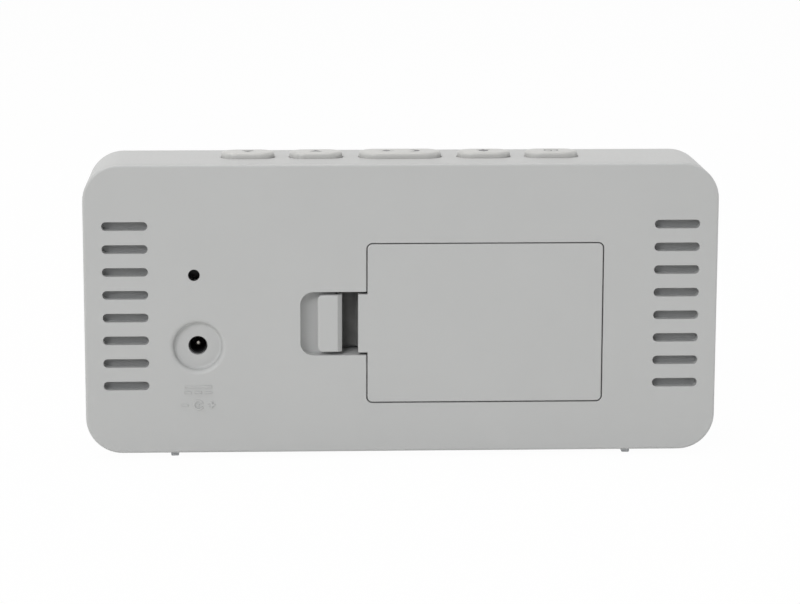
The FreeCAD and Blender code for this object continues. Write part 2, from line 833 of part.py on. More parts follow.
def cut_vents(body):
    """Eight slots a side through the cover, which is thicker there."""
    width, height, top = vent_field()
    thicker = draw_on(body, "vent_pads", "front", COVER_INSIDE)
    for side in (-1, 1):
        rectangle(thicker, side * (SIDE - size.vent_from_side), top - height / 2, width, height)
    pad(body, "vent_pad", thicker, size.vent_pad, -1)
    for side in (-1, 1):
        name = "left_vents" if side < 0 else "right_vents"
        vents = draw_on(body, name, "front", BACK)
        across = side * (SIDE - size.vent_from_side)
        stadium(vents, across, TOP - size.vent_from_top, size.vent_length, size.vent_width)
        first = pocket(body, name + "_slot", vents, size.cover_thickness + size.vent_pad, -1)
        rows = body.newObject("PartDesign::LinearPattern", "back_cover_" + name + "_rows")
        rows.Originals = [first]
        rows.Direction = (vents, ["V_Axis"])
        rows.Reversed = True
        bind(rows, "Length", (size.vent_count - 1) * size.vent_pitch)
        bind(rows, "Occurrences", size.vent_count)
        body.Tip = rows
        DOC.recompute()


def add_hooks(body):
    """Four springy hooks that hold the cover in the front housing."""
    root = COVER_INSIDE + size.easy_gap
    tip = COVER_INSIDE - size.snap_length
    for up, level in ((1, TOP - size.wall), (-1, BOTTOM + size.wall)):
        outer = level - up * size.lip_clearance
        inner = outer - up * size.snap_thickness
        nose = level + up * size.snap_bite - up * size.easy_gap
        for side in (-1, 1):
            name = ("top" if up > 0 else "bottom") + ("_left" if side < 0 else "_right")
            start = side * size.snap_place - size.snap_width / 2
            hook = draw_on(body, name + "_hook", "side", start)
            polygon(hook, [
                (root, inner),
                (root, outer),
                (tip + 2 * size.snap_thickness, outer),
                (tip + 1.5 * size.snap_thickness, nose),
                (tip + size.snap_thickness, nose),
                (tip, outer - up * size.snap_bite / 2),
                (tip, inner),
            ])
            pad(body, name, hook, size.snap_width, +1)


def add_marks(body):
    """Raised generic marks under the inlet: direct current, and which contact is which."""
    marks = draw_on(body, "marks", "front", BACK)
    line = size.mark_line
    long_row = JACK_Z - size.dish_diameter / 2 - size.direct_drop
    rectangle(marks, JACK_X, long_row, size.direct_line, line)
    for step in (-1, 0, 1):
        rectangle(marks, JACK_X + step * size.direct_step, long_row - size.row_step, size.direct_dash, line)
    row = long_row - size.row_step - size.polarity_drop
    rectangle(marks, JACK_X + size.polarity_reach, row, size.polarity_dash, line)
    plus = JACK_X - size.polarity_reach
    arm, half = size.polarity_dash / 2, line / 2
    polygon(marks, [
        (plus - arm, row - half), (plus - half, row - half), (plus - half, row - arm),
        (plus + half, row - arm), (plus + half, row - half), (plus + arm, row - half),
        (plus + arm, row + half), (plus + half, row + half), (plus + half, row + arm),
        (plus - half, row + arm), (plus - half, row + half), (plus - arm, row + half),
    ])
    circle(marks, JACK_X, row, size.polarity_ring)
    circle(marks, JACK_X, row, size.polarity_ring - line)
    rectangle(marks, JACK_X, row, line, line)
    pad(body, "mark", marks, size.mark_height, +1)
    opening = draw_on(body, "ring_opening", "front", BACK + size.mark_height)
    rectangle(opening, JACK_X - size.polarity_ring, row, size.polarity_ring, 2 * line)
    pocket(body, "ring_open", opening, size.mark_height, -1)


# Vent screens: thin grey sheets behind the slots

def make_vent_screens():
    width, height, top = vent_field()
    front = COVER_INSIDE - size.vent_pad - size.screen_thickness
    for side, name in ((-1, "vent_screen_left"), (1, "vent_screen_right")):
        across = side * (SIDE - size.vent_from_side)
        keep(name, centred_block(name, (across, top - height / 2), front,
                                 (width, size.screen_thickness, height)))


# Foot strips, let into grooves under the case

def make_feet():
    length = HOUSING_END - FRONT - 2 * size.foot_inset
    centre = (HOUSING_END + FRONT) / 2
    for side, name in ((-1, "foot_strip_left"), (1, "foot_strip_right")):
        body = new_body(name)
        strip = draw_on(body, "outline", "top", 0)
        rectangle(strip, side * FOOT_X, centre, size.foot_width, length)
        pad(body, "strip", strip, size.foot_height + size.foot_groove, +1)
        round_edges(body, "rounding", size.foot_rounding, lambda box: near(box.ZMax, 0))


# Battery door, its latch spring and its tab

def make_battery_door():
    body = new_body("battery_door")
    plate = draw_on(body, "outline", "front", DOOR_INSIDE)
    rounded_rectangle(plate, DOOR_X, DOOR_Z, size.door_width, size.door_height, size.door_corner)
    pad(body, "plate", plate, size.door_thickness, +1)
    neck = draw_on(body, "neck", "front", DOOR_INSIDE)
    neck_reach = size.neck_length + size.door_corner
    rectangle(neck, NECK_END - neck_reach / 2, DOOR_Z, neck_reach, size.neck_width)
    pad(body, "neck_plate", neck, size.door_thickness, +1)
    for side in (-1, 1):
        lug = draw_on(body, "upper_lug" if side > 0 else "lower_lug", "top",
                      DOOR_Z + side * size.lug_from_middle - size.lug_width / 2)
        top = COVER_INSIDE - size.lug_clearance
        low = top - size.lug_thickness
        polygon(lug, [
            (LUG_EDGE + size.lug_root, DOOR_INSIDE + size.easy_gap),
            (LUG_EDGE, DOOR_INSIDE + size.easy_gap),
            (LUG_EDGE, top),
            (LUG_EDGE - size.lug_reach, top),
            (LUG_EDGE - size.lug_reach, low + size.lug_thickness / 3),
            (LUG_EDGE - size.lug_reach + size.lug_thickness / 3, low),
            (LUG_EDGE + size.lug_root, low),
        ])
        pad(body, "lug_upper" if side > 0 else "lug_lower", lug, size.lug_width, +1)
    back = float(BACK)
    round_edges(body, "edges", size.door_edge,
                lambda box: near(box.YMin, back) and near(box.YMax, back))


def make_latch():
    """The tab rides on a U spring that hangs from the door's neck into the well."""
    arm_low = BACK - size.arm_depth
    outer = size.spring_gap / 2 + size.spring_thickness
    turn_y = BACK - size.spring_depth + outer
    middle = NECK_END + size.spring_gap / 2
    low = DOOR_Z - size.tab_width / 2
    ring = tube("latch_spring_ring", (middle, turn_y, low), outer, size.spring_gap / 2, size.tab_width, UPWARDS)
    upper_half = block("latch_spring_upper", (middle - outer, turn_y, low),
                       (2 * outer, 2 * outer, size.tab_width))
    bend = cut("latch_spring_bend", ring, upper_half)
    neck_arm = block("latch_spring_neck_arm", (middle - outer, turn_y, low),
                     (size.spring_thickness, DOOR_INSIDE - turn_y, size.tab_width))
    tab_arm = block("latch_spring_tab_arm", (TAB_START, turn_y, low),
                    (size.spring_thickness, arm_low - turn_y, size.tab_width))
    keep("latch_spring", join("latch_spring", [bend, neck_arm, tab_arm]))

    body = new_body("latch_tab")
    tab_inside = BACK - size.tab_thickness
    outline = draw_on(body, "outline", "front", tab_inside)
    rectangle(outline, (TAB_START + TAB_END) / 2, DOOR_Z, size.tab_length, size.tab_width)
    pad(body, "plate", outline, size.tab_thickness, +1)
    arm = draw_on(body, "arm", "front", tab_inside)
    rectangle(arm, TAB_START + size.spring_thickness / 2, DOOR_Z, size.spring_thickness, size.tab_width)
    pad(body, "upper_arm", arm, size.arm_depth - size.tab_thickness, -1)
    nose = draw_on(body, "nose", "top", DOOR_Z - size.tab_width / 4)
    arm_side = TAB_START + size.spring_thickness
    polygon(nose, [
        (arm_side - size.spring_thickness / 2, arm_low),
        (arm_side, arm_low),
        (arm_side + size.nose_reach, arm_low + size.nose_height),
        (arm_side - size.spring_thickness / 2, arm_low + size.nose_height),
    ])
    pad(body, "catch_nose", nose, size.tab_width / 2, +1)
    back = float(BACK)
    start = float(TAB_START)
    end = float(TAB_END)
    round_edges(body, "spring_side", size.tab_slope,
                lambda box: near(box.YMin, back) and near(box.XMax, start), "Chamfer")
    round_edges(body, "corners", size.tab_corner,
                lambda box: near(box.YMax, back) and near(box.XMin, end) and box.ZLength < 1e-4)
    limit = start + float(size.tab_slope)
    round_edges(body, "edges", size.tab_edge,
                lambda box: near(box.YMin, back) and near(box.YMax, back) and box.XMax > limit + 1e-3)


# Battery tray for three cells and its contacts

def make_battery_tray():
    body = new_body("battery_tray")
    outer_length = TRAY_LENGTH + 2 * size.tray_wall
    outer_height = TRAY_HEIGHT + 2 * size.tray_wall
    outside = draw_on(body, "outside", "front", TRAY_FLOOR - size.tray_wall)
    rectangle(outside, DOOR_X, DOOR_Z, outer_length, outer_height)
    pad(body, "block", outside, COVER_INSIDE - TRAY_FLOOR + size.tray_wall, +1)
    flange = draw_on(body, "flange", "front", COVER_INSIDE)
    across = size.door_width / 2 + size.door_gap
    reach = size.tray_flange
    flange_height = size.door_height + 2 * size.door_gap + 2 * reach
    rectangle(flange, DOOR_X, DOOR_Z, 2 * across + 2 * reach, flange_height)
    pad(body, "rim", flange, size.tray_wall, -1)
    bay = draw_on(body, "bay", "front", COVER_INSIDE)
    rectangle(bay, DOOR_X, DOOR_Z, TRAY_LENGTH, TRAY_HEIGHT)
    pocket(body, "hollow", bay, COVER_INSIDE - TRAY_FLOOR, -1)
    notch = draw_on(body, "latch_notch", "front", COVER_INSIDE)
    notch_start = DOOR_X + outer_length / 2
    notch_width = across + 2 * reach - outer_length / 2
    notch_height = size.pocket_height + 2 * size.well_wall + 2 * size.easy_gap
    rectangle(notch, notch_start + notch_width / 2, DOOR_Z, notch_width, notch_height)
    pocket(body, "latch_cut", notch, size.tray_wall, -1)
    slots = draw_on(body, "lug_slots", "front", COVER_INSIDE)
    slot_end = DOOR_X - outer_length / 2
    slot_width = across + 2 * reach - outer_length / 2
    for side in (-1, 1):
        up = DOOR_Z + side * size.lug_from_middle
        rectangle(slots, slot_end - slot_width / 2, up, slot_width, size.lug_width + 4 * size.lug_clearance)
    pocket(body, "lug_cut", slots, size.tray_wall, -1)
    dividers = draw_on(body, "dividers", "front", TRAY_FLOOR)
    pitch = size.cell_diameter + size.cell_clearance
    rectangle(dividers, DOOR_X, DOOR_Z + pitch / 2, size.cell_length, size.divider_thickness)
    rectangle(dividers, DOOR_X, DOOR_Z - pitch / 2, size.cell_length, size.divider_thickness)
    pad(body, "divider", dividers, size.divider_height, +1)


def contact_profile(body, name, face_x, inward, low, height, reach):
    """A sprung strip: a flat back against the end wall and a bowed finger towards the cell."""
    thick = size.contact_thickness
    deep = TRAY_FLOOR + size.easy_gap
    outer = DOOR_INSIDE - 1.5 * size.cell_clearance
    centre = (deep + outer) / 2
    strip = draw_on(body, name, "top", low)
    polygon(strip, [
        (face_x, deep),
        (face_x, outer),
        (face_x + inward * thick, outer),
        (face_x + inward * (thick + reach), centre + size.contact_width / 8),
        (face_x + inward * (thick + reach), centre - size.contact_width / 8),
        (face_x + inward * thick, deep),
    ])
    pad(body, name + "_strip", strip, height, +1)


def make_contacts():
    pitch = size.cell_diameter + size.cell_clearance
    half = TRAY_LENGTH / 2
    lug_end = DOOR_X - half
    neck_end = DOOR_X + half
    width = size.contact_width
    top_row = DOOR_Z + pitch - width / 2
    middle_row = DOOR_Z - width / 2
    bottom_row = DOOR_Z - pitch - width / 2
    bow, nub = size.contact_bow, size.contact_nub

    plus = new_body("plus_contact")
    contact_profile(plus, "nub", lug_end, 1, top_row, width, nub)
    minus = new_body("minus_contact")
    contact_profile(minus, "bow", neck_end, -1, bottom_row, width, bow)
    lower_link = new_body("lower_link_contact")
    contact_profile(lower_link, "nub", lug_end, 1, bottom_row, width, nub)
    contact_profile(lower_link, "bow", lug_end, 1, middle_row, width, bow)
    add_link(lower_link, lug_end, 1, bottom_row, middle_row)
    upper_link = new_body("upper_link_contact")
    contact_profile(upper_link, "nub", neck_end, -1, middle_row, width, nub)
    contact_profile(upper_link, "bow", neck_end, -1, top_row, width, bow)
    add_link(upper_link, neck_end, -1, middle_row, top_row)


def add_link(body, face_x, inward, low_row, high_row):
    thick = size.contact_thickness
    strip = draw_on(body, "link", "front", TRAY_FLOOR + size.easy_gap)
    length = high_row - low_row
    middle = (high_row + low_row + size.contact_width) / 2
    rectangle(strip, face_x + inward * thick / 2, middle, thick, length)
    pad(body, "link_strip", strip, size.contact_width / 2, +1)


def make_battery_leads():
    """Two short wires from the tray's ends to the main board, each with one bend."""
    pitch = size.cell_diameter + size.cell_clearance
    radius = size.lead_diameter / 2
    bend = size.lead_bend
    start_y = TRAY_FLOOR + size.cell_diameter / 2
    for name, side, across in (("battery_lead_red", 1, DOOR_X - TRAY_LENGTH / 4),
                               ("battery_lead_black", -1, DOOR_X + TRAY_LENGTH / 4)):
        body = new_body(name)
        wall_z = DOOR_Z + side * (TRAY_HEIGHT / 2 + size.tray_wall)
        turn_z = wall_z + side * (bend + radius)
        path = draw_on(body, "path", "side", across)
        rise = drawing_line(path, (start_y, wall_z), (start_y, turn_z - side * bend))
        run = drawing_line(path, (start_y - bend, turn_z), (BOARD_BACK, turn_z))
        around = Part.Circle(vector(start_y - bend, turn_z - side * bend), FreeCAD.Vector(0, 0, 1), float(bend))
        angles = (0, math.pi / 2) if side > 0 else (-math.pi / 2, 0)
        arc = path.addGeometry(Part.ArcOfCircle(around, *angles))
        near_rise, near_run = (1, 2) if side > 0 else (2, 1)
        path.addConstraint(Sketcher.Constraint("Coincident", arc, near_rise, rise, 2))
        path.addConstraint(Sketcher.Constraint("Coincident", arc, near_run, run, 1))
        constrain(path, bend, "Radius", arc)
        ring = draw_on(body, "section", "top", wall_z)
        circle(ring, across, start_y, radius)
        pipe = body.newObject("PartDesign::AdditivePipe", name + "_pipe")
        pipe.Profile = ring
        pipe.Spine = path
        DOC.recompute()


def drawing_line(drawing, start, end):
    line = drawing.addGeometry(Part.LineSegment(vector(*start), vector(*end)))
    pin(drawing, line, 1, *start)
    pin(drawing, line, 2, *end)
    return line


# Buttons, their switch plungers, the key board and its switches

def make_buttons():
    flange = size.button_flange
    under_wall = TOP - size.wall - size.button_stop_gap
    switches = []
    for name, across, length, width in BUTTONS:
        body = new_body(name + "_button")
        cap = draw_on(body, "cap", "top", under_wall)
        stadium(cap, across, 0, length, width)
        pad(body, "cap_pad", cap, TOP + size.button_rise - under_wall, +1)
        top = float(TOP + size.button_rise)
        round_edges(body, "rounding", size.button_rounding,
                    lambda box, top=top: near(box.ZMin, top))
        skirt = draw_on(body, "flange", "top", under_wall)
        stadium(skirt, across, 0, length + 2 * flange, width + 2 * flange)
        pad(body, "flange_pad", skirt, size.button_flange_thickness, -1)
        stem = draw_on(body, "stem", "top", under_wall - size.button_flange_thickness)
        circle(stem, across, 0, size.button_stem / 2)
        pad(body, "stem_pad", stem, under_wall - size.button_flange_thickness - PLUNGER_TOP, -1)

        plunger_low = SWITCH_TOP - size.plunger_root
        radius = size.plunger_diameter / 2
        plunger = rod(name + "_plunger", (across, 0, plunger_low), radius,
                      size.plunger_rise + size.plunger_root, UPWARDS)
        keep(name + "_plunger", plunger)
        half = size.switch_width / 2
        shell = block(name + "_switch_shell", (across - half, -half, KEY_BOARD_TOP),
                      (size.switch_width, size.switch_width, size.switch_height))
        depth = size.plunger_root + size.button_travel + size.easy_gap
        well = rod(name + "_switch_well", (across, 0, SWITCH_TOP - depth),
                   radius + size.plunger_clearance, depth, UPWARDS)
        switches.append(cut(name + "_switch", shell, well))
    keep("key_switches", group("key_switches", switches))


def board_with_holes(name, plate, holes):
    tools = group(name + "_holes", holes)
    return keep(name, cut(name, plate, tools))


def make_key_board():
    reach = size.outer_button_place + size.small_button_length / 2 + size.key_board_margin
    width, depth, thick = 2 * reach, size.key_board_depth, size.board_thickness
    low = KEY_BOARD_TOP - thick
    plate = block("key_board_plate", (-width / 2, -depth / 2, low), (width, depth, thick))
    holes = []
    screws = []
    for index, (across, along) in enumerate(KEY_BOSSES, start=1):
        holes.append(rod(f"key_board_hole_{index}", (across, along, low), PILOT, thick, UPWARDS))
        screws.append(make_screw(f"key_board_screw_{index}", (across, along, low), UPWARDS, DOWNWARDS))
    board_with_holes("key_board", plate, holes)
    keep("key_board_screws", group("key_board_screws", screws))


def make_screw(name, seat, inwards, outwards):
    """A pan head screw: its shank runs inwards from the seat, its head outwards."""
    shank = rod(name + "_shank", seat, size.screw_diameter / 2, size.screw_length, inwards)
    head = rod(name + "_head", seat, size.screw_head / 2, size.screw_head_height, outwards)
    return join(name, [shank, head])


# Main board and what stands on it

def make_main_board():
    thick = size.board_thickness
    spans = (BOARD_WIDTH, thick, BOARD_HEIGHT)
    plate = centred_block("main_board_plate", (WINDOW_X, MIDDLE), BOARD_FRONT, spans)
    holes = []
    screws = []
    for index, (across, up) in enumerate(MAIN_BOSSES, start=1):
        holes.append(rod(f"main_board_hole_{index}", (across, BOARD_FRONT, up), PILOT, thick, BACKWARDS))
        screws.append(make_screw(f"main_board_screw_{index}", (across, BOARD_BACK, up), FORWARDS, BACKWARDS))
    board_with_holes("main_board", plate, holes)
    keep("main_board_screws", group("main_board_screws", screws))


def make_components():
    """Each piece is placed from the jack or the reset hole, on the back of the main board."""
    chip_place = (JACK_X - size.chip_from_jack, BOARD_LOW + size.chip_width)
    chip_spans = (size.chip_width, size.chip_thickness, size.chip_width)
    keep("controller_chip", centred_block("controller_chip", chip_place, BOARD_BACK, chip_spans))
    radius = size.crystal_diameter / 2
    crystal_base = (JACK_X, BOARD_BACK + radius, BOARD_LOW + size.crystal_diameter)
    keep("quartz_crystal", rod("quartz_crystal", crystal_base, radius, size.crystal_length, ACROSS))
    beside = (JACK_X + size.jack_body_width / 2 + BOARD_RIGHT) / 2
    capacitor_base = (beside, BOARD_BACK, RESET_Z)
    keep("capacitor", rod("capacitor", capacitor_base, size.capacitor_diameter / 2, size.capacitor_length,
                          BACKWARDS))
    can_base = (beside, BOARD_BACK, JACK_Z)
    can = rod("buzzer_can", can_base, size.buzzer_diameter / 2, size.buzzer_height, BACKWARDS)
    hole_base = (beside, BOARD_BACK + size.buzzer_floor, JACK_Z)
    hole = rod("buzzer_hole", hole_base, size.sound_hole / 2, size.buzzer_height - size.buzzer_floor, BACKWARDS)
    keep("buzzer", cut("buzzer", can, hole))


def make_jack():
    """A round inlet on the main board, its mouth behind the dish."""
    seat = BACK - size.dish_depth - size.dish_floor
    width = size.jack_body_width
    depth = seat - size.easy_gap - BOARD_BACK
    shell = centred_block("dc_jack_shell", (JACK_X, JACK_Z), BOARD_BACK, (width, depth, width))
    floor = size.tray_wall
    bore = rod("dc_jack_bore", (JACK_X, BOARD_BACK + floor, JACK_Z), size.jack_bore / 2, depth - floor, BACKWARDS)
    keep("dc_jack", cut("dc_jack", shell, bore))
    pin = new_body("dc_jack_pin")
    root = draw_on(pin, "root", "front", BOARD_BACK + floor)
    circle(root, JACK_X, JACK_Z, size.jack_pin / 2)
    pin_length = depth - floor - size.pin_recess
    pad(pin, "shank", root, pin_length, +1)
    tip = float(BOARD_BACK + floor + pin_length)
    round_edges(pin, "tip", size.pin_rounding, lambda box: near(box.YMin, tip))


def make_reset_switch():
    tube_end = COVER_INSIDE - size.reset_tube_length
    plunger_end = tube_end - size.reset_gap
    switch_end = plunger_end - size.plunger_rise
    width = size.switch_width
    depth = switch_end - BOARD_BACK
    shell = centred_block("reset_switch_shell", (RESET_X, RESET_Z), BOARD_BACK, (width, depth, width))
    radius = size.reset_plunger / 2
    well_depth = size.plunger_root + size.reset_travel + size.easy_gap
    well = rod("reset_switch_well", (RESET_X, switch_end - well_depth, RESET_Z),
               radius + size.plunger_clearance, well_depth, BACKWARDS)
    keep("reset_switch", cut("reset_switch", shell, well))
    keep("reset_plunger", rod("reset_plunger", (RESET_X, switch_end - size.plunger_root, RESET_Z), radius,
                              size.plunger_rise + size.plunger_root, BACKWARDS))


def make_key_ribbon():
    """A flat cable from under the key board down to the main board's back."""
    body = new_body("key_ribbon")
    thick = size.contact_thickness
    start = KEY_BOARD_TOP - size.board_thickness
    end = MIDDLE + WINDOW_HEIGHT / 2
    along = BOARD_BACK + 2 * size.board_thickness
    route = draw_on(body, "route", "side", KEY_BOSS_X / 3)
    polygon(route, [
        (along, start),
        (along, end + thick),
        (BOARD_BACK, end + thick),
        (BOARD_BACK, end),
        (along + thick, end),
        (along + thick, start),
    ])
    pad(body, "strip", route, size.switch_width * 2, +1)


# Display stack, from the front backwards

def make_display():
    lens = new_body("display_lens")
    outline = draw_on(lens, "outline", "front", FRONT + size.lens_gap)
    margin = size.lens_margin - size.lens_gap
    lens_width = WINDOW_WIDTH + 2 * margin
    lens_height = WINDOW_HEIGHT + 2 * margin
    lens_corner = size.window_corner - size.lens_gap
    rounded_rectangle(outline, WINDOW_X, MIDDLE, lens_width, lens_height, lens_corner)
    pad(lens, "pane", outline, size.lens_thickness, +1)
    centre = (WINDOW_X, MIDDLE)
    glass = centred_block("lcd_glass", centre, GLASS_FRONT, (GLASS_WIDTH, size.glass_thickness, GLASS_HEIGHT))
    keep("lcd_glass", glass)
    rubber_room = size.rubber_width + 2 * size.frame_clearance
    guide_height = GLASS_HEIGHT - rubber_room
    guide_z = MIDDLE + rubber_room / 2
    led_width, led_height = size.backlight_width, size.backlight_thickness
    guide_width = GLASS_WIDTH - 2 * led_height - 2 * size.easy_gap
    guide = centred_block("light_guide", (WINDOW_X, guide_z), GUIDE_FRONT,
                          (guide_width, size.guide_thickness, guide_height))
    keep("light_guide", guide)
    lights = []
    for side in (-1, 1):
        across = WINDOW_X + side * (GLASS_WIDTH / 2 - led_height / 2)
        lights.append(centred_block("backlight_led_left" if side < 0 else "backlight_led_right",
                                    (across, guide_z), GUIDE_FRONT, (led_height, led_width, led_width)))
    keep("backlight_leds", group("backlight_leds", lights))
    rubber = centred_block("conductive_rubber", (WINDOW_X, MIDDLE - GLASS_HEIGHT / 2 + size.rubber_width / 2),
                           GLASS_FRONT + size.glass_thickness,
                           (WINDOW_WIDTH, BOARD_FRONT - GLASS_FRONT - size.glass_thickness, size.rubber_width))
    keep("conductive_rubber", rubber)
    make_lcd_frame()


def make_lcd_frame():
    body = new_body("lcd_frame")
    start = GLASS_FRONT
    outside = draw_on(body, "outside", "front", start)
    rectangle(outside, WINDOW_X, MIDDLE, FRAME_WIDTH, FRAME_HEIGHT)
    pad(body, "block", outside, BOARD_FRONT - start, +1)
    inside = draw_on(body, "inside", "front", start)
    clear = 2 * size.frame_clearance
    rectangle(inside, WINDOW_X, MIDDLE, GLASS_WIDTH + clear, GLASS_HEIGHT + clear)
    depth = GUIDE_FRONT + size.guide_thickness + size.easy_gap - start
    pocket(body, "hollow", inside, depth, +1)
    slot = draw_on(body, "rubber_slot", "front", start)
    slot_z = MIDDLE - GLASS_HEIGHT / 2 + size.rubber_width / 2
    rectangle(slot, WINDOW_X, slot_z, WINDOW_WIDTH + clear, size.rubber_width + clear)
    pocket(body, "slot", slot, BOARD_FRONT - start, +1)
    back = draw_on(body, "back_recess", "front", BOARD_FRONT)
    inner_height = GLASS_HEIGHT - 3 * size.rubber_width
    rectangle(back, WINDOW_X, MIDDLE + size.rubber_width, GLASS_WIDTH - 2 * size.frame_wall,
              inner_height)
    floor_depth = BOARD_FRONT - start - depth - size.frame_floor
    pocket(body, "recess", back, floor_depth, -1)


# Projector: a drum that turns about X in a cradle behind the front wall

def make_cradle():
    body = new_body("projector_cradle", (DRUM_X, DRUM_Y, DRUM_Z))
    wall = size.cradle_wall
    inner = size.drum_radius + size.drum_clearance
    outer = inner + wall
    half = size.drum_length / 2 + size.drum_side_gap
    front = FRONT_INSIDE - DRUM_Y
    outside = draw_on(body, "outside", "side", -half - wall)
    polygon(outside, [
        (front, -outer),
        (outer, -outer),
        (outer, outer / 2),
        (outer / 2, outer),
        (front, size.scoop_rise + wall),
    ])
    pad(body, "block", outside, 2 * (half + wall), +1)
    hollow = draw_on(body, "hollow", "side", -half)
    circle(hollow, 0, 0, inner)
    pocket(body, "drum_room", hollow, 2 * half, +1)
    mouth = draw_on(body, "mouth", "side", -half)
    polygon(mouth, [
        (front, -inner),
        (as_length(0), -inner),
        (as_length(0), inner),
        (front, size.scoop_rise),
    ])
    pocket(body, "mouth_cut", mouth, 2 * half, +1)
    bearing = draw_on(body, "bearing", "side", -half - wall)
    circle(bearing, 0, 0, size.axle_radius + size.axle_clearance)
    pocket(body, "bearing_cut", bearing, 2 * (half + wall), +1)


def make_drum():
    body = new_body("projector_drum", (DRUM_X, DRUM_Y, DRUM_Z))
    half = size.drum_length / 2
    axle = half + size.drum_side_gap + size.cradle_wall
    barrel = draw_on(body, "barrel", "side", -half)
    circle(barrel, 0, 0, size.drum_radius)
    pad(body, "drum", barrel, size.drum_length, +1)
    shaft = draw_on(body, "axle", "side", -axle)
    circle(shaft, 0, 0, size.axle_radius)
    pad(body, "shaft", shaft, 2 * axle, +1)
    ridge = draw_on(body, "ridge", "side", -half)
    circle(ridge, 0, size.drum_radius, size.ridge_radius)
    first = pad(body, "ridge_bar", ridge, size.ridge_band, +1)
    ridges = body.newObject("PartDesign::PolarPattern", "projector_drum_ridges")
    ridges.Originals = [first]
    ridges.Axis = (ridge, ["N_Axis"])
    ridges.Angle = 360
    bind(ridges, "Occurrences", size.ridge_count)
    body.Tip = ridges
    DOC.recompute()
    ring_back = size.ring_face - size.ring_thickness
    seat = draw_on(body, "ring_seat", "front", -ring_back)
    circle(seat, 0, 0, size.ring_seat_radius)
    pocket(body, "ring_cut", seat, size.drum_radius - ring_back, -1)
    middle = size.slide_thickness / 2
    tube_drawing = draw_on(body, "lens_tube", "front", -middle)
    circle(tube_drawing, 0, 0, size.barrel_radius)
    pocket(body, "tube_cut", tube_drawing, size.drum_radius, -1)
    slide = draw_on(body, "slide_seat", "front", middle + size.optic_gap)
    rectangle(slide, as_length(0), as_length(0), size.slide_width + 2 * size.optic_gap,
              size.slide_width + 2 * size.optic_gap)
    pocket(body, "slide_cut", slide, 2 * middle + size.optic_gap, -1)
    lamp = draw_on(body, "led_hole", "front", size.drum_radius)
    circle(lamp, 0, 0, size.led_radius + size.optic_gap)
    pocket(body, "led_cut", lamp, size.drum_radius - middle, -1)
    rear = draw_on(body, "rear", "front", size.drum_radius)
    circle(rear, 0, 0, size.barrel_radius)
    pocket(body, "rear_cut", rear, size.barrel_radius, -1)


def make_optics():
    centre = (DRUM_X, DRUM_Z)
    ring_back = DRUM_Y - size.ring_face + size.ring_thickness
    keep("lens_ring", tube("lens_ring", (DRUM_X, ring_back, DRUM_Z), size.ring_seat_radius - size.optic_gap,
                           size.barrel_radius - 3 * size.optic_gap, size.ring_thickness, FORWARDS))
    make_projector_lens(ring_back)
    slide = centred_block("projector_slide", centre, DRUM_Y - size.slide_thickness / 2,
                          (size.slide_width, size.slide_thickness, size.slide_width))
    keep("projector_slide", slide)
    board_front = DRUM_Y + size.drum_radius - size.barrel_radius
    led_front = DRUM_Y + size.slide_thickness / 2 + 2 * size.optic_gap + size.led_radius
    stem = rod("projector_led_stem", (DRUM_X, led_front, DRUM_Z), size.led_radius, board_front - led_front, BACKWARDS)
    dome = DOC.addObject("Part::Sphere", "projector_led_dome")
    bind(dome, "Radius", size.led_radius)
    place(dome, (DRUM_X, led_front, DRUM_Z))
    keep("projector_led", join("projector_led", [stem, dome]))
    keep("projector_led_board", rod("projector_led_board", (DRUM_X, board_front, DRUM_Z),
                                    size.barrel_radius - size.optic_gap, size.slide_thickness, BACKWARDS))


def make_projector_lens(ring_back):
    """A biconvex lens: where two balls and the lens's own rod share space."""
    edge = size.barrel_radius - size.optic_gap
    thickness = size.optic_thickness
    ball_radius = size.optic_curve
    front = ring_back + size.optic_gap - size.ring_thickness / 2
    core = rod("projector_lens_core", (DRUM_X, ring_back + size.optic_gap, DRUM_Z), edge, thickness, BACKWARDS)
    balls = []
    for name, along in (("front", front + ball_radius), ("back", front + thickness - ball_radius)):
        ball = DOC.addObject("Part::Sphere", "projector_lens_" + name)
        bind(ball, "Radius", ball_radius)
        balls.append(place(ball, (DRUM_X, along, DRUM_Z)))
    shared = DOC.addObject("Part::MultiCommon", "projector_lens")
    shared.Shapes = [core] + balls
    keep("projector_lens", shared)


def check_and_write():
    DOC.recompute()
    for thing in DOC.Objects:
        if "Invalid" in thing.State or "Error" in thing.State:
            raise ValueError(f"{thing.Name} failed: {thing.State}")
    for name, thing in NODES.items():
        if thing.Shape.isNull() or not thing.Shape.isValid() or not thing.Shape.Solids:
            raise ValueError(f"{name} has no sound shape")
    os.makedirs("parts", exist_ok=True)
    for name, thing in NODES.items():
        thing.Shape.exportStep(f"parts/{name}.step")
        print(f"{name}: {len(thing.Shape.Solids)} solid(s), {thing.Shape.Volume:.1f} mm3")


make_front_housing()
make_back_cover()
make_vent_screens()
make_feet()
make_battery_door()
make_latch()
make_battery_tray()
make_contacts()
make_battery_leads()
make_buttons()
make_key_board()
make_main_board()
make_components()
make_jack()
make_reset_switch()
make_key_ribbon()
make_display()
make_cradle()
make_drum()
make_optics()
check_and_write()
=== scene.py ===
# %% [markdown]
# A table clock that projects the time, dressed for a studio picture.
# The solid model gives every piece its shape and place, and this lesson gives each one its finish.
# Pictures could be wrapped round the solids, but a pattern worked out in real millimetres stays
# sharp at any distance, so every finish here is built from nodes.

# %% Load the solid model
import math

import bmesh
import bpy
import json
import numpy as np
from mathutils import Matrix, Vector


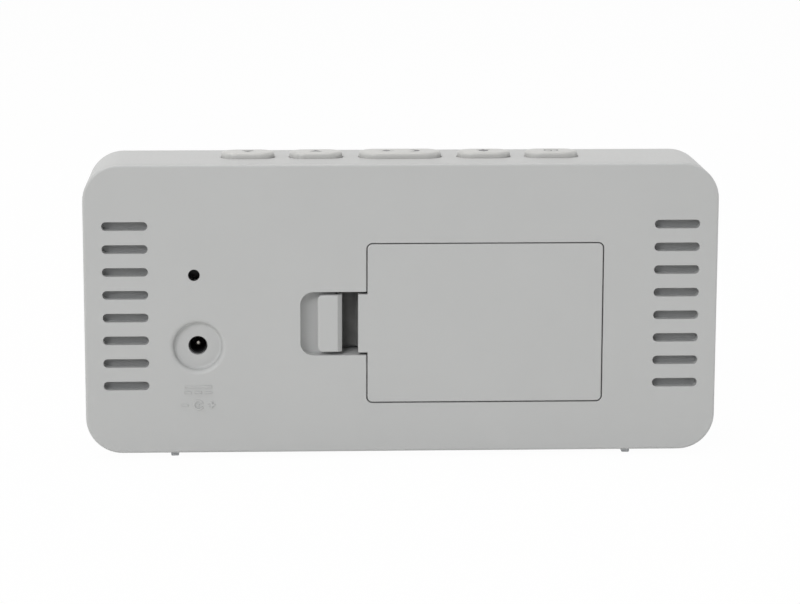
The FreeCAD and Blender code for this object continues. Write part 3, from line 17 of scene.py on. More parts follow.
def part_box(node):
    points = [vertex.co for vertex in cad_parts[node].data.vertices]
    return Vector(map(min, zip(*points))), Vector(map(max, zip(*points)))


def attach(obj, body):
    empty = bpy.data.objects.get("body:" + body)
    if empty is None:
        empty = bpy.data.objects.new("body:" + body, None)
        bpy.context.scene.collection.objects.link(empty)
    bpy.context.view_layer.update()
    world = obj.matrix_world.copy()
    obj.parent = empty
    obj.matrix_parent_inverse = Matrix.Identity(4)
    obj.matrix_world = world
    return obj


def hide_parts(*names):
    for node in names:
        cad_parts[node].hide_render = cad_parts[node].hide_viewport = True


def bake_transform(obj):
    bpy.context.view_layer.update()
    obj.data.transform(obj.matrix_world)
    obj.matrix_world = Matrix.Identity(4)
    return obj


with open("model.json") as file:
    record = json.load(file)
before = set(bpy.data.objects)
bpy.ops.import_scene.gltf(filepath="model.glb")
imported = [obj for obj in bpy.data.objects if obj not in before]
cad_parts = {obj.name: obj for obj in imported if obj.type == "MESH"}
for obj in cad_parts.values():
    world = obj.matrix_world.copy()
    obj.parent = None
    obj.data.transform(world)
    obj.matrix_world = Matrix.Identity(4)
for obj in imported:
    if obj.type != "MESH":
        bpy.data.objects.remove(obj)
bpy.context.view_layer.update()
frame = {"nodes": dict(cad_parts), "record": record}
MM = 0.001
print("pieces from the solid model:", len(frame["nodes"]))

# %% [markdown]
# The camera stands behind the clock, a little above it and almost straight on, with a long lens.
# A long lens keeps the back nearly a true rectangle. Its place was worked out from the corners of
# the case, the vents, the inlet and the battery door, so these lines only repeat the answer.

# %% Camera
CAMERA_PLACE = Vector((0.03287, 0.7145, 0.1717))
LOOKS = Vector((-0.0454, -0.9818, -0.1844)).normalized()
ROLL = 0.0027

level = LOOKS.cross(Vector((0, 0, 1))).normalized()
across = level * math.cos(ROLL) + level.cross(LOOKS) * math.sin(ROLL)
upwards = across.cross(LOOKS)
lens = bpy.data.cameras.new("camera")
lens.sensor_width = 36
lens.lens = 127.1
lens.clip_start = 0.01
camera = bpy.data.objects.new("camera", lens)
camera.matrix_world = Matrix((across, upwards, -LOOKS)).transposed().to_4x4()
camera.location = CAMERA_PLACE
bpy.context.scene.collection.objects.link(camera)
bpy.context.scene.camera = camera
print("camera", [round(v, 4) for v in camera.location], "lens", lens.lens)

# %% [markdown]
# Every material is made of small nodes. One helper adds a node, fills in its settings and joins it
# to the ones before it. A second one turns a colour as a designer writes it, sRGB hex, into the
# linear light that a renderer adds up.

# %% Helpers for colour and nodes
def linear(hex_colour):
    """A dark part c becomes c / 12.92, and any other ((c + 0.055) / 1.055) to the power 2.4."""
    parts = [int(hex_colour[i:i + 2], 16) / 255 for i in (1, 3, 5)]
    return [c / 12.92 if c <= 0.04045 else ((c + 0.055) / 1.055) ** 2.4 for c in parts] + [1.0]


def connect(node, inputs):
    """Each input is a number, a colour, or the output of another node."""
    for name, value in inputs.items():
        if isinstance(value, bpy.types.NodeSocket):
            node.id_data.links.new(value, node.inputs[name])
        else:
            node.inputs[name].default_value = value


def add(tree, kind, inputs=None, **settings):
    node = tree.nodes.new("ShaderNode" + kind)
    for name, value in settings.items():
        setattr(node, name, value)
    connect(node, inputs or {})
    return node


def start_material(name):
    material = bpy.data.materials.new(name)
    material.use_nodes = True
    tree = material.node_tree
    place = add(tree, "TexCoord").outputs["Object"]
    return material, tree, tree.nodes["Principled BSDF"], place


def features(size_mm):
    """The noise scale that makes patches about this many millimetres wide."""
    return 1 / (size_mm * MM)


def stripes(pitch_mm):
    """A band pattern repeats each pi / 10 / scale metres, so this scale gives the pitch."""
    return math.pi / 10 / (pitch_mm * MM)


# %% [markdown]
# The studio is a white sweep with a big soft lamp above and another beside the camera. Two weak
# lamps stand level with the ends of the clock and lift its side edges, as white card does.
# A product picture on pure white is usually cut out. Here the floor glows white only for what looks
# at it directly, so it stays white without lighting the clock, and a part of it stays an ordinary
# floor so that the soft shadow under the clock is kept.

# %% Floor
def seen_directly(tree):
    """One where a ray comes from the camera, a reflection or glass, and nought elsewhere."""
    path = add(tree, "LightPath")
    either = add(tree, "Math", {0: path.outputs["Is Camera Ray"], 1: path.outputs["Is Glossy Ray"]},
                 operation="MAXIMUM")
    return add(tree, "Math", {0: either.outputs[0], 1: path.outputs["Is Transmission Ray"]},
               operation="MAXIMUM").outputs[0]


FLOOR_GLOW = 0.975
floor_paper, tree, shader, place = start_material("white_paper_sweep")
tree.nodes.remove(shader)
paper = add(tree, "BsdfDiffuse", {"Color": linear("#F1F1EF")})
glow = add(tree, "Emission", {"Color": (1, 1, 1, 1), "Strength": 1.0})
share = add(tree, "Math", {0: seen_directly(tree), 1: FLOOR_GLOW}, operation="MULTIPLY")
both = add(tree, "MixShader", {0: share.outputs[0], 1: paper.outputs[0], 2: glow.outputs[0]})
connect(tree.nodes["Material Output"], {"Surface": both.outputs[0]})

REACH = 8.0
corners = [(-REACH, -REACH, 0), (REACH, -REACH, 0), (REACH, REACH, 0), (-REACH, REACH, 0)]
floor_mesh = bpy.data.meshes.new("floor")
floor_mesh.from_pydata(corners, [], [(0, 1, 2, 3)])
floor_mesh.materials.append(floor_paper)
floor = bpy.data.objects.new("floor", floor_mesh)
bpy.context.scene.collection.objects.link(floor)
print("floor", 2 * REACH, "m wide")

# %% World and lamps
world = bpy.data.worlds.new("studio")
bpy.context.scene.world = world
world.use_nodes = True
tree = world.node_tree
AMBIENT = 0.26
AIM = (0, 0, 0.04)
room = add(tree, "Background", {"Color": (0.98, 0.99, 1.0, 1), "Strength": AMBIENT})
white = add(tree, "Background", {"Color": (1, 1, 1, 1), "Strength": 1.0})
mixed = add(tree, "MixShader", {0: seen_directly(tree), 1: room.outputs[0], 2: white.outputs[0]})
connect(tree.nodes["World Output"], {"Surface": mixed.outputs[0]})


def soft_lamp(name, place, width, power, colour):
    """A square lamp, in metres and watts, that faces the middle of the clock."""
    lamp = bpy.data.lights.new(name, "AREA")
    lamp.shape = "SQUARE"
    lamp.size = width
    lamp.energy = power
    lamp.color = linear(colour)[:3]
    thing = bpy.data.objects.new(name, lamp)
    thing.location = place
    thing.rotation_euler = (Vector(AIM) - Vector(place)).to_track_quat("-Z", "Y").to_euler()
    bpy.context.scene.collection.objects.link(thing)


soft_lamp("overhead_softbox", (0.25, -0.1, 1.3), 1.1, 9.3, "#FFFCF8")
soft_lamp("camera_side_softbox", (1.0, 2.2, 1.45), 1.2, 33.5, "#FFFFFF")
soft_lamp("far_side_softbox", (-1.6, -0.1, 0.4), 0.6, 4.5, "#FFFFFF")
soft_lamp("near_side_softbox", (1.6, -0.1, 0.4), 0.6, 2.4, "#FFFFFF")
bpy.context.scene.view_settings.view_transform = "Standard"
print("lamps 4, room light", AMBIENT)

# %% [markdown]
# The case is injection moulded ABS, matt and light grey. The mould was textured by sparks, which
# leaves a fine even grain, and the plastic's flow leaves broad patches that differ by a shade.
# Two noises do both. A small Bevel node softens sharp edges in the shading, as a mould does.
# The real grain is about 0.1 mm; it is drawn at 0.45 mm, because finer would not show.

# %% Patterns that several finishes share
def noise(tree, place, size_mm, detail, **more):
    """Patches about size_mm wide, as numbers from nought to one; detail adds finer ones inside."""
    inputs = {"Vector": place, "Scale": features(size_mm), "Detail": detail, **more}
    return add(tree, "TexNoise", inputs).outputs["Fac"]


def blend_colours(tree, amount, colour, shade):
    """From the first colour where the amount is nought to the second where it is one."""
    return add(tree, "MixRGB", {"Fac": amount, "Color1": colour, "Color2": shade}).outputs[0]


# Nearly all of a noise lies between these two values
NOISE_LOW = 0.3
NOISE_HIGH = 0.7


def uneven_gloss(tree, pattern, smoothest, roughest):
    span = {"From Min": NOISE_LOW, "From Max": NOISE_HIGH, "To Min": smoothest, "To Max": roughest}
    return add(tree, "MapRange", {"Value": pattern, **span}).outputs[0]


# %% Moulded plastics
FLOW_MARK = 22
GLOSS_CHANGE = 0.06


def moulded(name, colour, shade, rough, grain_mm=0.45, grain_height_mm=0.006, edge_mm=0.18):
    """A moulded plastic: a spark grain from the mould, and broad flow marks between two shades."""
    material, tree, shader, place = start_material(name)
    flow = noise(tree, place, FLOW_MARK, 3.0, Roughness=0.6)
    tone = blend_colours(tree, flow, linear(colour), linear(shade))
    grain = noise(tree, place, grain_mm, 2.0)
    gloss = uneven_gloss(tree, grain, rough - GLOSS_CHANGE, rough + GLOSS_CHANGE)
    edge = add(tree, "Bevel", {"Radius": edge_mm * MM}, samples=4)
    bump = add(tree, "Bump", {"Height": grain, "Distance": grain_height_mm * MM,
                              "Strength": 0.8, "Normal": edge.outputs[0]})
    connect(shader, {"Base Color": tone, "Roughness": gloss, "Normal": bump.outputs[0],
                     "IOR": 1.54})
    return material


case_abs = moulded("case_spark_textured_ABS", "#BEBFBF", "#BABBBB", 0.52)
button_abs = moulded("button_satin_ABS", "#C0C0BE", "#BBBBB9", 0.36,
                     grain_mm=0.6, grain_height_mm=0.004)
tray_abs = moulded("tray_moulded_ABS", "#B9B9B7", "#B2B2B0", 0.55)
dark_abs = moulded("projector_black_ABS", "#232325", "#1D1D1F", 0.42)
switch_nylon = moulded("switch_black_nylon", "#1B1B1D", "#151517", 0.5, grain_mm=0.3)
plunger_nylon = moulded("plunger_black_nylon", "#1A1A1B", "#141415", 0.45, grain_mm=0.3)
chip_epoxy = moulded("component_moulded_epoxy", "#1E1E20", "#19191B", 0.6, grain_mm=0.25)
print("moulded plastics: 7")

# %% [markdown]
# The feet are strips of pale grey TPR, a soft rubber, with a dull skin. The lens ring is a gloss
# black trim. Both are the moulded finish again with other numbers, which is how a maker's colour
# and texture plate works too.

# %% Rubber and trim
foot_rubber = moulded("foot_grey_TPR", "#F0F2F5", "#E8EBEF", 0.75,
                      grain_mm=0.5, grain_height_mm=0.015)
ring_gloss = moulded("lens_ring_gloss_ABS", "#121214", "#0E0E10", 0.16,
                     grain_mm=1.5, grain_height_mm=0.001)
print("rubber and trim: 2")

# %% [markdown]
# Behind the vents sits a thin grey sheet that keeps dust out. It is felt, pressed until its face is
# nearly smooth: long fibres lie every way, so two noises stretched across each other draw them, and
# a broad noise adds the dust that such a sheet gathers.

# %% Dust felt
FIBRE = 0.35


def stretched(tree, place, stretch):
    """The place, pulled so that a noise on it is drawn out along the axis with the small number."""
    return add(tree, "Mapping", {"Vector": place, "Scale": stretch}).outputs[0]


dust_felt, tree, shader, place = start_material("vent_pressed_grey_felt")
sideways = noise(tree, stretched(tree, place, (0.2, 1, 1)), FIBRE, 3.0)
upright = noise(tree, stretched(tree, place, (1, 1, 0.2)), FIBRE, 3.0)
mat = add(tree, "Math", {0: sideways, 1: upright}, operation="MAXIMUM").outputs[0]
dust = noise(tree, place, 5, 3.0)
fibre = blend_colours(tree, mat, linear("#98999A"), linear("#ABACAD"))
felt = blend_colours(tree, dust, fibre, linear("#A2A3A4"))
fuzz = add(tree, "Bump", {"Height": mat, "Distance": 0.02 * MM})
connect(shader, {"Base Color": felt, "Roughness": 0.9, "Normal": fuzz.outputs[0]})
print("felt fibres", FIBRE, "mm wide")

# %% [markdown]
# Nickel plate on the contacts and the inlet pin, zinc on the screws, and a drawn aluminium can.
# Metal has no colour of its own besides its reflection's tint, so the roughness carries the detail:
# long fine scratches from rolling or turning, made by a noise that is stretched along one axis.

# %% Metals
def metal(name, tint, rough, scratch_mm, stretch):
    """Plated metal: a stretched noise moves the roughness and lifts a fine bump."""
    material, tree, shader, place = start_material(name)
    scratch = noise(tree, stretched(tree, place, stretch), scratch_mm, 4.0)
    gloss = uneven_gloss(tree, scratch, rough - 0.07, rough + 0.08)
    stain = noise(tree, place, 3, 2.0)
    tone = blend_colours(tree, stain, linear(tint[0]), linear(tint[1]))
    bump = add(tree, "Bump", {"Height": scratch, "Distance": 0.004 * MM})
    connect(shader, {"Base Color": tone, "Metallic": 1.0, "Roughness": gloss,
                     "Normal": bump.outputs[0]})
    return material


contact_nickel = metal("contact_nickel_plated_steel", ("#CFCBC2", "#BDB9B0"), 0.28, 0.3,
                       (1, 1, 0.1))
pin_nickel = metal("inlet_pin_polished_nickel", ("#A8A59E", "#99968F"), 0.3, 0.2, (1, 0.1, 1))
screw_zinc = metal("screw_zinc_plated_steel", ("#C3C5C8", "#AEB0B4"), 0.35, 0.3, (1, 1, 1))
can_aluminium = metal("can_drawn_aluminium", ("#D5D6D8", "#C4C5C7"), 0.3, 0.3, (0.1, 1, 1))
print("metals: 4")

# %% [markdown]
# A circuit board is glass fibre under green solder mask. Copper tracks show through as a lighter
# green, raised by a hair. A brick pattern on the 2.54 mm grid that parts are laid out on gives
# tracks that run and turn at right angles.

# %% Circuit board
PIN_GRID = 2.54
board_mask, tree, shader, place = start_material("fibreglass_board_with_solder_mask")
turned = add(tree, "Mapping", {"Vector": place, "Rotation": (math.pi / 2, 0, 0)})
tracks = add(tree, "TexBrick", {"Vector": turned.outputs[0], "Scale": features(PIN_GRID) / 2,
                                "Color1": linear("#1C5A34"), "Color2": linear("#1F6038"),
                                "Mortar": linear("#37804F"), "Mortar Size": 0.05,
                                "Mortar Smooth": 0.2})
weave = noise(tree, place, 0.8, 2.0)
lifted = add(tree, "Bump", {"Height": tracks.outputs["Fac"], "Distance": 0.04 * MM})
fine = add(tree, "Bump", {"Height": weave, "Distance": 0.01 * MM, "Normal": lifted.outputs[0]})
connect(shader, {"Base Color": tracks.outputs["Color"], "Roughness": 0.32,
                 "Normal": fine.outputs[0], "IOR": 1.5})
print("board grid", PIN_GRID, "mm")

# %% [markdown]
# Wires wear a soft PVC sleeve with a waxy gloss. The flat cable that joins the two boards is a row
# of grey conductors side by side, so a stripe pattern at its 1 mm pitch draws the grooves, both as
# a bump and as painted shade: the grooves are coloured a darker grey.

# %% Wires and flat cable
red_sleeve = moulded("wire_red_PVC", "#B3261E", "#A6221B", 0.35,
                     grain_mm=1.0, grain_height_mm=0.01)
black_sleeve = moulded("wire_black_PVC", "#1C1C1D", "#161617", 0.35,
                       grain_mm=1.0, grain_height_mm=0.01)

CORE_PITCH = 1.0
ribbon_vinyl, tree, shader, place = start_material("flat_cable_grey_vinyl")
ridge = add(tree, "TexWave", {"Vector": place, "Scale": stripes(CORE_PITCH)},
            wave_type="BANDS", bands_direction="X").outputs["Fac"]
# Painted shade: the grooves between the conductors take the darker grey.
cores_and_groove_shade = blend_colours(tree, ridge, linear("#9A9A98"), linear("#BFBFBC"))
wavy = add(tree, "Bump", {"Height": ridge, "Distance": 0.2 * MM})
connect(shader, {"Base Color": cores_and_groove_shade, "Roughness": 0.45, "Normal": wavy.outputs[0]})
print("wires 2, cable core pitch", CORE_PITCH, "mm")

# %% [markdown]
# The display window is smoked acrylic: glossy in front, and dark enough to hide the parts behind it
# until they glow. Real tint soaks up light in its depth. A thin pane lets us use plain
# see-through black instead, which is quick and looks the same at 1 mm.

# %% Window, display glass and light parts
def clear_part(name, colour, shade, rough, see_through=0.0, opacity=1.0, index=1.49):
    """A polished clear part: wide faint ripples from moulding, seen only in its reflections."""
    material, tree, shader, place = start_material(name)
    ripple = noise(tree, place, 9, 2.0)
    tone = blend_colours(tree, ripple, linear(colour), linear(shade))
    gloss = add(tree, "MapRange", {"Value": ripple, "To Min": rough, "To Max": rough + 0.04})
    bump = add(tree, "Bump", {"Height": ripple, "Distance": 0.01 * MM, "Strength": 0.3})
    connect(shader, {"Base Color": tone, "Roughness": gloss.outputs[0],
                     "Normal": bump.outputs[0], "IOR": index,
                     "Transmission Weight": see_through, "Alpha": opacity})
    return material


window_acrylic = clear_part("window_smoked_acrylic", "#0B0C0E", "#08090A", 0.05, opacity=0.62)
display_glass = clear_part("display_glass_with_polariser", "#22262B", "#1D2126", 0.12, index=1.52)
guide_acrylic = clear_part("light_guide_acrylic", "#F4F6F6", "#EDF0F0", 0.08, see_through=0.9)
led_epoxy = clear_part("led_epoxy", "#F1EBC8", "#E6DFB6", 0.1, see_through=0.6, index=1.55)
lens_glass = clear_part("projector_lens_coated_glass", "#E3EEF6", "#D2E2F0", 0.02,
                        see_through=1.0, index=1.52)
print("clear parts: 5")

# %% [markdown]
# Now each piece of the solid model takes its finish. The record says which kind of material each
# piece has, so one table from kind to finish dresses them all, and a piece that is added later
# is dressed as well.

# %% Dress the pieces
FINISHES = {
    "case_plastic": case_abs,
    "button_plastic": button_abs,
    "screen_cloth": dust_felt,
    "foot_rubber": foot_rubber,
    "tray_plastic": tray_abs,
    "contact_metal": contact_nickel,
    "red_wire": red_sleeve,
    "black_wire": black_sleeve,
    "switch_plastic": switch_nylon,
    "plunger_plastic": plunger_nylon,
    "board": board_mask,
    "screw_steel": screw_zinc,
    "chip_plastic": chip_epoxy,
    "can_metal": can_aluminium,
    "pin_metal": pin_nickel,
    "ribbon": ribbon_vinyl,
    "window_plastic": window_acrylic,
    "lcd": display_glass,
    "guide_plastic": guide_acrylic,
    "led_plastic": led_epoxy,
    "dark_plastic": dark_abs,
    "ring_plastic": ring_gloss,
    "optic": lens_glass,
}
for part in frame["record"]["subparts"]:
    piece = frame["nodes"][part["node"]]
    for holder in piece.material_slots:
        holder.material = FINISHES[part["material_slot"]]

# %% [markdown]
# The latch spring is a U of the same plastic as the door, deep in its well. Its colour is painted
# shade: it is darker than the door's plastic, and it turns darker still with depth over a few
# millimetres, where the well's shade falls.

# %% Plastic with painted shade
SHADE_LIGHTEST_ABOVE = 13.0
SHADE_DARKEST_BELOW = 5.0


def shaded_with_depth(name, shallow_shade_colour, deep_shade_colour, rough):
    """Plastic whose colour fades with depth along Y from one painted shade to a darker one, with a
    ragged edge.
    """
    material, tree, shader, place = start_material(name)
    depth = add(tree, "SeparateXYZ", {"Vector": place}).outputs["Y"]
    ragged = noise(tree, place, 2.5, 3.0)
    shift = add(tree, "Math", {0: ragged, 1: 2 * MM, 2: depth}, operation="MULTIPLY_ADD")
    shade_amount = add(tree, "MapRange", {"Value": shift.outputs[0], "From Min": SHADE_DARKEST_BELOW * MM,
                                      "From Max": SHADE_LIGHTEST_ABOVE * MM, "To Min": 1.0, "To Max": 0.0})
    tone = blend_colours(tree, shade_amount.outputs[0], linear(shallow_shade_colour), linear(deep_shade_colour))
    fuzz = add(tree, "Bump", {"Height": ragged, "Distance": 0.03 * MM})
    connect(shader, {"Base Color": tone, "Roughness": rough, "Normal": fuzz.outputs[0]})
    return material


# Painted shade: the spring is the case's plastic, and both colours are darker only to stand in for
# the shade deep in its well.
spring_abs_painted_shade = shaded_with_depth("spring_ABS_painted_depth_shade", "#A6A7A7", "#545452", 0.6)
print("painted shade starts", SHADE_LIGHTEST_ABOVE, "mm behind the middle and is full at", SHADE_DARKEST_BELOW, "mm")

# %% [markdown]
# When the tab is pushed towards the door the U closes. Here the solid model's spring is swapped for
# a skin: a small rounded rectangle carried along a line that goes down, round half a circle and up
# again. Carrying a section along a path gives an even wall, which a bent box wouldn't.

# %% A section carried along a path
def make_piece(name, points, faces, material):
    """A mesh object from arrays; its doubles are merged, and its normals are turned outwards."""
    mesh = bpy.data.meshes.new(name)
    mesh.from_pydata(np.asarray(points).tolist(), [], [list(face) for face in faces])
    shape = bmesh.new()
    shape.from_mesh(mesh)
    bmesh.ops.remove_doubles(shape, verts=shape.verts, dist=1e-7)
    bmesh.ops.recalc_face_normals(shape, faces=shape.faces)
    shape.to_mesh(mesh)
    shape.free()
    mesh.materials.append(material)
    piece = bpy.data.objects.new(name, mesh)
    bpy.context.scene.collection.objects.link(piece)
    return piece


def grid_faces(rows, columns, wrap):
    """Quads between neighbouring rows and columns; wrap joins the last column to the first."""
    last = columns if wrap else columns - 1
    row, column = np.meshgrid(np.arange(rows - 1), np.arange(last), indexing="ij")
    following = (column + 1) % columns
    quads = [row * columns + column, row * columns + following,
             (row + 1) * columns + following, (row + 1) * columns + column]
    return np.stack(quads, axis=-1).reshape(-1, 4).tolist()


def rounded_section(width, height, radius, steps=4):
    """Four quarter circles, one at each corner of a rectangle, as rows of (across, up)."""
    turns = np.radians(np.arange(4)[:, None] * 90 + np.linspace(0, 90, steps)[None, :])
    signs = np.array([(1, 1), (-1, 1), (-1, -1), (1, -1)])
    inner = signs * (width / 2 - radius, height / 2 - radius)
    corners = inner[:, None, :] + radius * np.stack([np.cos(turns), np.sin(turns)], axis=-1)
    return corners.reshape(-1, 2)


# %% Latch spring
WALL = 1.0 * MM
WALL_CORNER = 0.2 * MM
DOOR_THICKNESS = 1.7 * MM
BEND_STEPS = 25
LEG_STEPS = 8
low, high = (np.array(corner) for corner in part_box("latch_spring"))
radius = (high[0] - low[0]) / 2 - WALL / 2
middle = (high[0] + low[0]) / 2
turn = low[1] + radius + WALL / 2
door_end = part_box("battery_door")[1].y - DOOR_THICKNESS
tab_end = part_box("latch_tab")[0].y


def leg(along_x, start, end):
    """Points down or up one leg of the U, from start to end along Y."""
    steps = np.linspace(start, end, LEG_STEPS + 1)
    return np.column_stack([np.full(len(steps), along_x), steps])


angle = np.radians(np.linspace(180, 360, BEND_STEPS))
bend = np.stack([middle + radius * np.cos(angle), turn + radius * np.sin(angle)], axis=-1)
lead_in = leg(middle - radius, door_end, turn)[:-1]
lead_out = leg(middle + radius, turn, tab_end)[1:]
path = np.concatenate([lead_in, bend, lead_out])
along = np.gradient(path, axis=0)
along /= np.linalg.norm(along, axis=1, keepdims=True)
outward = np.stack([along[:, 1], -along[:, 0]], axis=-1)
section = rounded_section(WALL, high[2] - low[2], WALL_CORNER)
plan = path[:, None, :] + outward[:, None, :] * section[None, :, :1]
height = np.broadcast_to((high[2] + low[2]) / 2 + section[:, 1], plan.shape[:2])
points = np.concatenate([plan, height[..., None]], axis=-1)
rows, columns = points.shape[:2]
first_end = list(range(columns))
last_end = [(rows - 1) * columns + column for column in range(columns)]
faces = grid_faces(rows, columns, True) + [first_end, last_end]
spring = make_piece("latch_spring_skin", points.reshape(-1, 3), faces, spring_abs_painted_shade)
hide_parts("latch_spring")
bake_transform(spring)
print("latch spring", rows, "by", columns, "points")

# %% [markdown]
# Each button has a small printed sign that means the same everywhere: a clock face, a bell, a moon
# with a lamp, and two arrowheads. Pad printing leaves a flat film of ink, so each sign is a flat
# surface just above the button. Every stroke is a band between two curves, and a disc is a band
# whose inner curve has shrunk to one point.

# %% Flat signs
def arc(centre, radius, first, last, count=33):
    """Points on a circle about the centre, from one angle to the other in degrees."""
    turns = np.radians(np.linspace(first, last, count))
    return np.array(centre) + radius * np.stack([np.cos(turns), np.sin(turns)], axis=-1)


def band(outer, inner):
    """A flat surface between two curves, joined point to point."""
    return np.stack([np.asarray(outer, float), np.asarray(inner, float)])


def stroke(start, end, width):
    """A straight bar, half its width to each side of the line from start to end."""
    start, end = np.array(start, float), np.array(end, float)
    square = np.array([start[1] - end[1], end[0] - start[0]])
    side = square / np.linalg.norm(end - start) * width / 2
    return band([start + side, end + side], [start - side, end - side])


def disc(centre, radius):
    rim = arc(centre, radius, 0, 360)
    return band(rim, np.broadcast_to(centre, rim.shape))


def flat_piece(name, bands, to_space, material):
    """Bands drawn in millimetres, put in place by a function from (across, up) to (x, y, z)."""
    points = []
    faces = []
    for shape in bands:
        count = shape.shape[1]
        faces += [[index + len(points) for index in face] for face in grid_faces(2, count, False)]
        points += to_space(shape.reshape(-1, 2) * MM).tolist()
    return make_piece(name, points, faces, material)


# %% The five signs, in millimetres about each button's middle
CLOCK = [band(arc((0, 0), 1.9, 0, 360), arc((0, 0), 1.55, 0, 360)),
         stroke((0, -0.1), (0, 1.2), 0.35), stroke((-0.1, 0), (0.9, 0), 0.35)]
BELL = [band(np.concatenate([arc((0, 0.4), 1.2, 0, 180, 25), [(-1.2, -0.9)]]),
             np.concatenate([np.linspace((1.2, -0.9), (-1.2, -0.9), 25), [(-1.2, -0.9)]])),
        stroke((-1.75, -1.1), (1.75, -1.1), 0.45), disc((0, -1.65), 0.4), disc((0, 1.75), 0.3)]
RAYS = [stroke((2.6 * math.cos(t), 2.6 * math.sin(t)), (3.4 * math.cos(t), 3.4 * math.sin(t)), 0.35)
        for t in np.radians(np.arange(0, 360, 45))]
MOON = [band(arc((0, 0), 1.7, 60, 300), arc((0.95, 0), 1.35, 75, 285))]
LAMP = [disc((0, 0), 1.0)] + [part * 0.55 for part in RAYS]
UP = [band([(-1.6, -1.1), (0, 1.5)], [(1.6, -1.1), (0, 1.5)])]
DOWN = [band([(-1.6, 1.1), (0, -1.5)], [(1.6, 1.1), (0, -1.5)])]
SNOOZE = [part + (-3.4, 0) for part in MOON] + [part + (3.4, 0) for part in LAMP]
SIGNS = {"time": CLOCK, "alarm": BELL, "snooze": SNOOZE, "down": DOWN, "up": UP}
print("signs", {name: len(parts) for name, parts in SIGNS.items()})

# %% [markdown]
# The ink is a dark grey epoxy film. It is a shade uneven where the pad lifted it, and a little
# glossier than the plastic under it.

# %% Printed signs
def printed(name, colour, shade, rough, glow=0.0):
    """Ink film: patches of two shades and an uneven gloss; a lit display's figures glow too."""
    material, tree, shader, place = start_material(name)
    patch = noise(tree, place, 0.7, 3.0)
    tone = blend_colours(tree, patch, linear(colour), linear(shade))
    gloss = add(tree, "MapRange", {"Value": patch, "To Min": rough - 0.05, "To Max": rough + 0.1})
    connect(shader, {"Base Color": tone, "Roughness": gloss.outputs[0],
                     "Emission Color": tone, "Emission Strength": glow})
    return material


sign_ink = printed("pad_printed_grey_ink", "#4E4E50", "#626264", 0.4)
INK_LIFT = 0.012 * MM
for name, bands in SIGNS.items():
    low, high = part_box(name + "_button")
    centre = np.array([(low.x + high.x) / 2, (low.y + high.y) / 2])
    level = high.z + INK_LIFT

    def on_top(flat, centre=centre, level=level):
        return np.column_stack([flat + centre, np.full(len(flat), level)])

    sign = flat_piece(name + "_sign", bands, on_top, sign_ink)
    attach(sign, name + "_key")
print("sign film", INK_LIFT / MM, "mm above the caps")

# %% [markdown]
# The display is not lit in a picture of the back, yet the part is looked at from all sides. A
# seven-segment time is drawn on the display glass: lit segments pale, the rest as faint ghosts, as
# a negative LCD shows them. A segment is a bar with pointed ends, a band between two bent lines.

# %% Seven-segment digits
SEGMENT_LENGTH = 9.6
SEGMENT_WIDTH = 1.7
SEGMENT_GAP = 0.25
SLANT = math.tan(math.radians(5))


def segment(place, upright):
    """A bar with pointed ends, turned a quarter when it is upright, and slanted with the digit."""
    half, tip = SEGMENT_LENGTH / 2 - SEGMENT_GAP, SEGMENT_WIDTH / 2
    top = np.array([(-half, 0), (-half + tip, tip), (half - tip, tip), (half, 0)])
    both = band(top, top * (1, -1))
    if upright:
        both = both[..., ::-1]
    both = both + place
    both[..., 0] += SLANT * both[..., 1]
    return both


HALF = SEGMENT_LENGTH / 2
LAYOUT = {"a": ((0, 2 * HALF), False), "b": ((HALF, HALF), True), "c": ((HALF, -HALF), True),
          "d": ((0, -2 * HALF), False), "e": ((-HALF, -HALF), True), "f": ((-HALF, HALF), True),
          "g": ((0, 0), False)}
SHAPES = {"0": "abcdef", "1": "bc", "8": "abcdefg"}


def digit(letter, shift, lit):
    """The lit segments of a figure, or those left over, moved along the row."""
    wanted = set(SHAPES[letter])
    return [segment(*LAYOUT[key]) + (shift, 0) for key in LAYOUT if (key in wanted) == lit]


TIME = "1008"
PLACES = (-30, -14.5, 14.5, 30)
COLON_RADIUS = 1.15
COLON_HEIGHTS = (4.2, -4.2)
ICON_SCALE = 0.9
BELL_PLACE = (-42, 10)
MOON_PLACE = (-42, -10)


def row_of_digits(lit):
    return [part for letter, shift in zip(TIME, PLACES) for part in digit(letter, shift, lit)]


lit_bands = row_of_digits(True)
lit_bands += [disc((SLANT * up, up), COLON_RADIUS) for up in COLON_HEIGHTS]
lit_bands += [part * ICON_SCALE + BELL_PLACE for part in BELL]
ghost_bands = row_of_digits(False)
ghost_bands += [part * ICON_SCALE + MOON_PLACE for part in MOON]
print("segments lit", len(lit_bands), "ghost", len(ghost_bands))

# %% Display figures on the glass
FIGURE_LIFT = 0.02 * MM
low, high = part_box("lcd_glass")
glass_middle = np.array([(low.x + high.x) / 2, (low.z + high.z) / 2])
glass_front = low.y - FIGURE_LIFT


def on_glass(flat):
    place = flat + glass_middle
    return np.column_stack([place[:, 0], np.full(len(place), glass_front), place[:, 1]])


lit_ink = printed("display_segment_lit", "#E6F0F2", "#DCE8EB", 0.5, glow=1.6)
ghost_ink = printed("display_segment_ghost", "#30353B", "#2B3036", 0.4)
flat_piece("display_figures_lit", lit_bands, on_glass, lit_ink)
flat_piece("display_figures_ghost", ghost_bands, on_glass, ghost_ink)
for name in ("display_figures_lit", "display_figures_ghost"):
    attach(bpy.data.objects[name], "case")
print("figures stand on the glass at", round(glass_front / MM, 2), "mm")

# %% [markdown]
# The window's rim is printed black on its inner face, which hides the seat that it is glued to. The
# print is a flat ring between two rounded rectangles, just inside the pane.

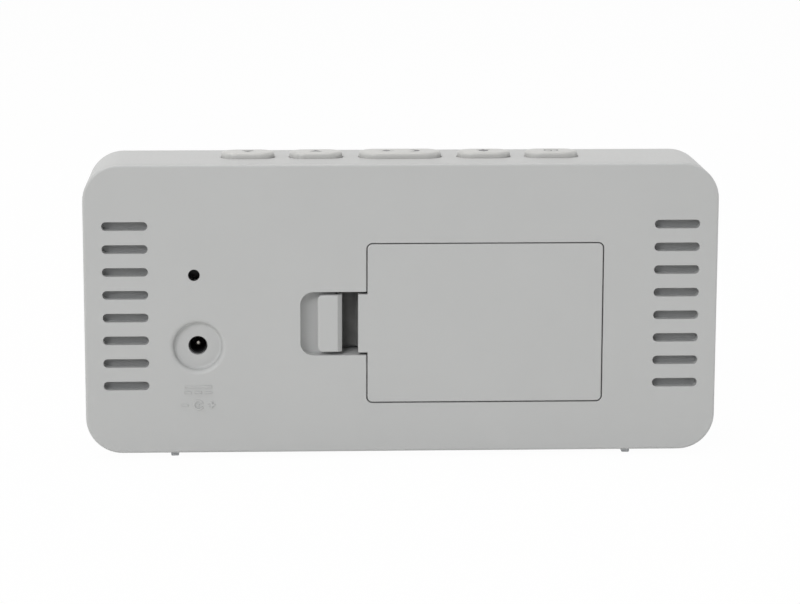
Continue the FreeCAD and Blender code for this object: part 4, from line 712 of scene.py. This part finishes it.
# %% Black print round the window
GLASS_MARGIN = 1.8
PRINT_LIFT = 0.04 * MM
OUTER_CORNER = 2.9
INNER_CORNER = 1.5
low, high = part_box("display_lens")
glass_low, glass_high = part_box("lcd_glass")
window_middle = np.array([(low.x + high.x) / 2, (low.z + high.z) / 2])
outline = np.array([high.x - low.x, high.z - low.z]) / MM
glass_size = np.array([glass_high.x - glass_low.x, glass_high.z - glass_low.z]) / MM
clear_view = glass_size - 2 * GLASS_MARGIN
print_plane = high.y - PRINT_LIFT


def on_window(flat):
    place = flat + window_middle
    return np.column_stack([place[:, 0], np.full(len(place), print_plane), place[:, 1]])


def closed(curve):
    return np.concatenate([curve, curve[:1]])


outer_rim = closed(rounded_section(*outline, OUTER_CORNER))
inner_rim = closed(rounded_section(*clear_view, INNER_CORNER))
rim_ink = printed("window_black_screen_print", "#0D0D0F", "#111114", 0.45)
window_print = flat_piece("window_print", [band(outer_rim, inner_rim)], on_window, rim_ink)
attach(window_print, "case")
print("window print leaves", clear_view.round(1), "mm clear")

# %% [markdown]
# The floor of the battery bay shows which way each cell goes in: an outline of a cell with its two
# poles. The real signs are moulded a hair high. A flat film in a darker shade of the tray reads the
# same and needs no cut in the solid.

# %% Cell outlines in the battery bay
TRAY_WALL = 1.2 * MM
SIGN_LIFT = 0.015 * MM
CELL_PITCH = 10.9
low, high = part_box("battery_tray")
bay_middle = np.array([(low.x + high.x) / 2, (low.z + high.z) / 2])
bay_floor = low.y + TRAY_WALL + SIGN_LIFT


def cell_sign(up, turned):
    """A cell's outline, with its pole and a plus at one end and a bar at the other."""
    box = [(-14, -2.6), (14, -2.6), (14, 2.6), (-14, 2.6), (-14, -2.6)]
    lines = [stroke(a, b, 0.35) for a, b in zip(box[:-1], box[1:])]
    lines += [stroke((14, 0), (15.2, 0), 2.0), stroke((10, -1.2), (10, 1.2), 0.45)]
    lines += [stroke((8.8, 0), (11.2, 0), 0.45), stroke((-11.2, 0), (-8.8, 0), 0.45)]
    return [line * (turned, 1) + (0, up) for line in lines]


def on_bay_floor(flat):
    place = flat + bay_middle
    return np.column_stack([place[:, 0], np.full(len(place), bay_floor), place[:, 1]])


cells = cell_sign(-CELL_PITCH, -1) + cell_sign(0, 1) + cell_sign(CELL_PITCH, -1)
bay_ink = printed("bay_sign_darker_ABS", "#8B8B89", "#838381", 0.6)
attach(flat_piece("cell_outlines", cells, on_bay_floor, bay_ink), "case")
print("cell outlines", len(cells), "strokes")
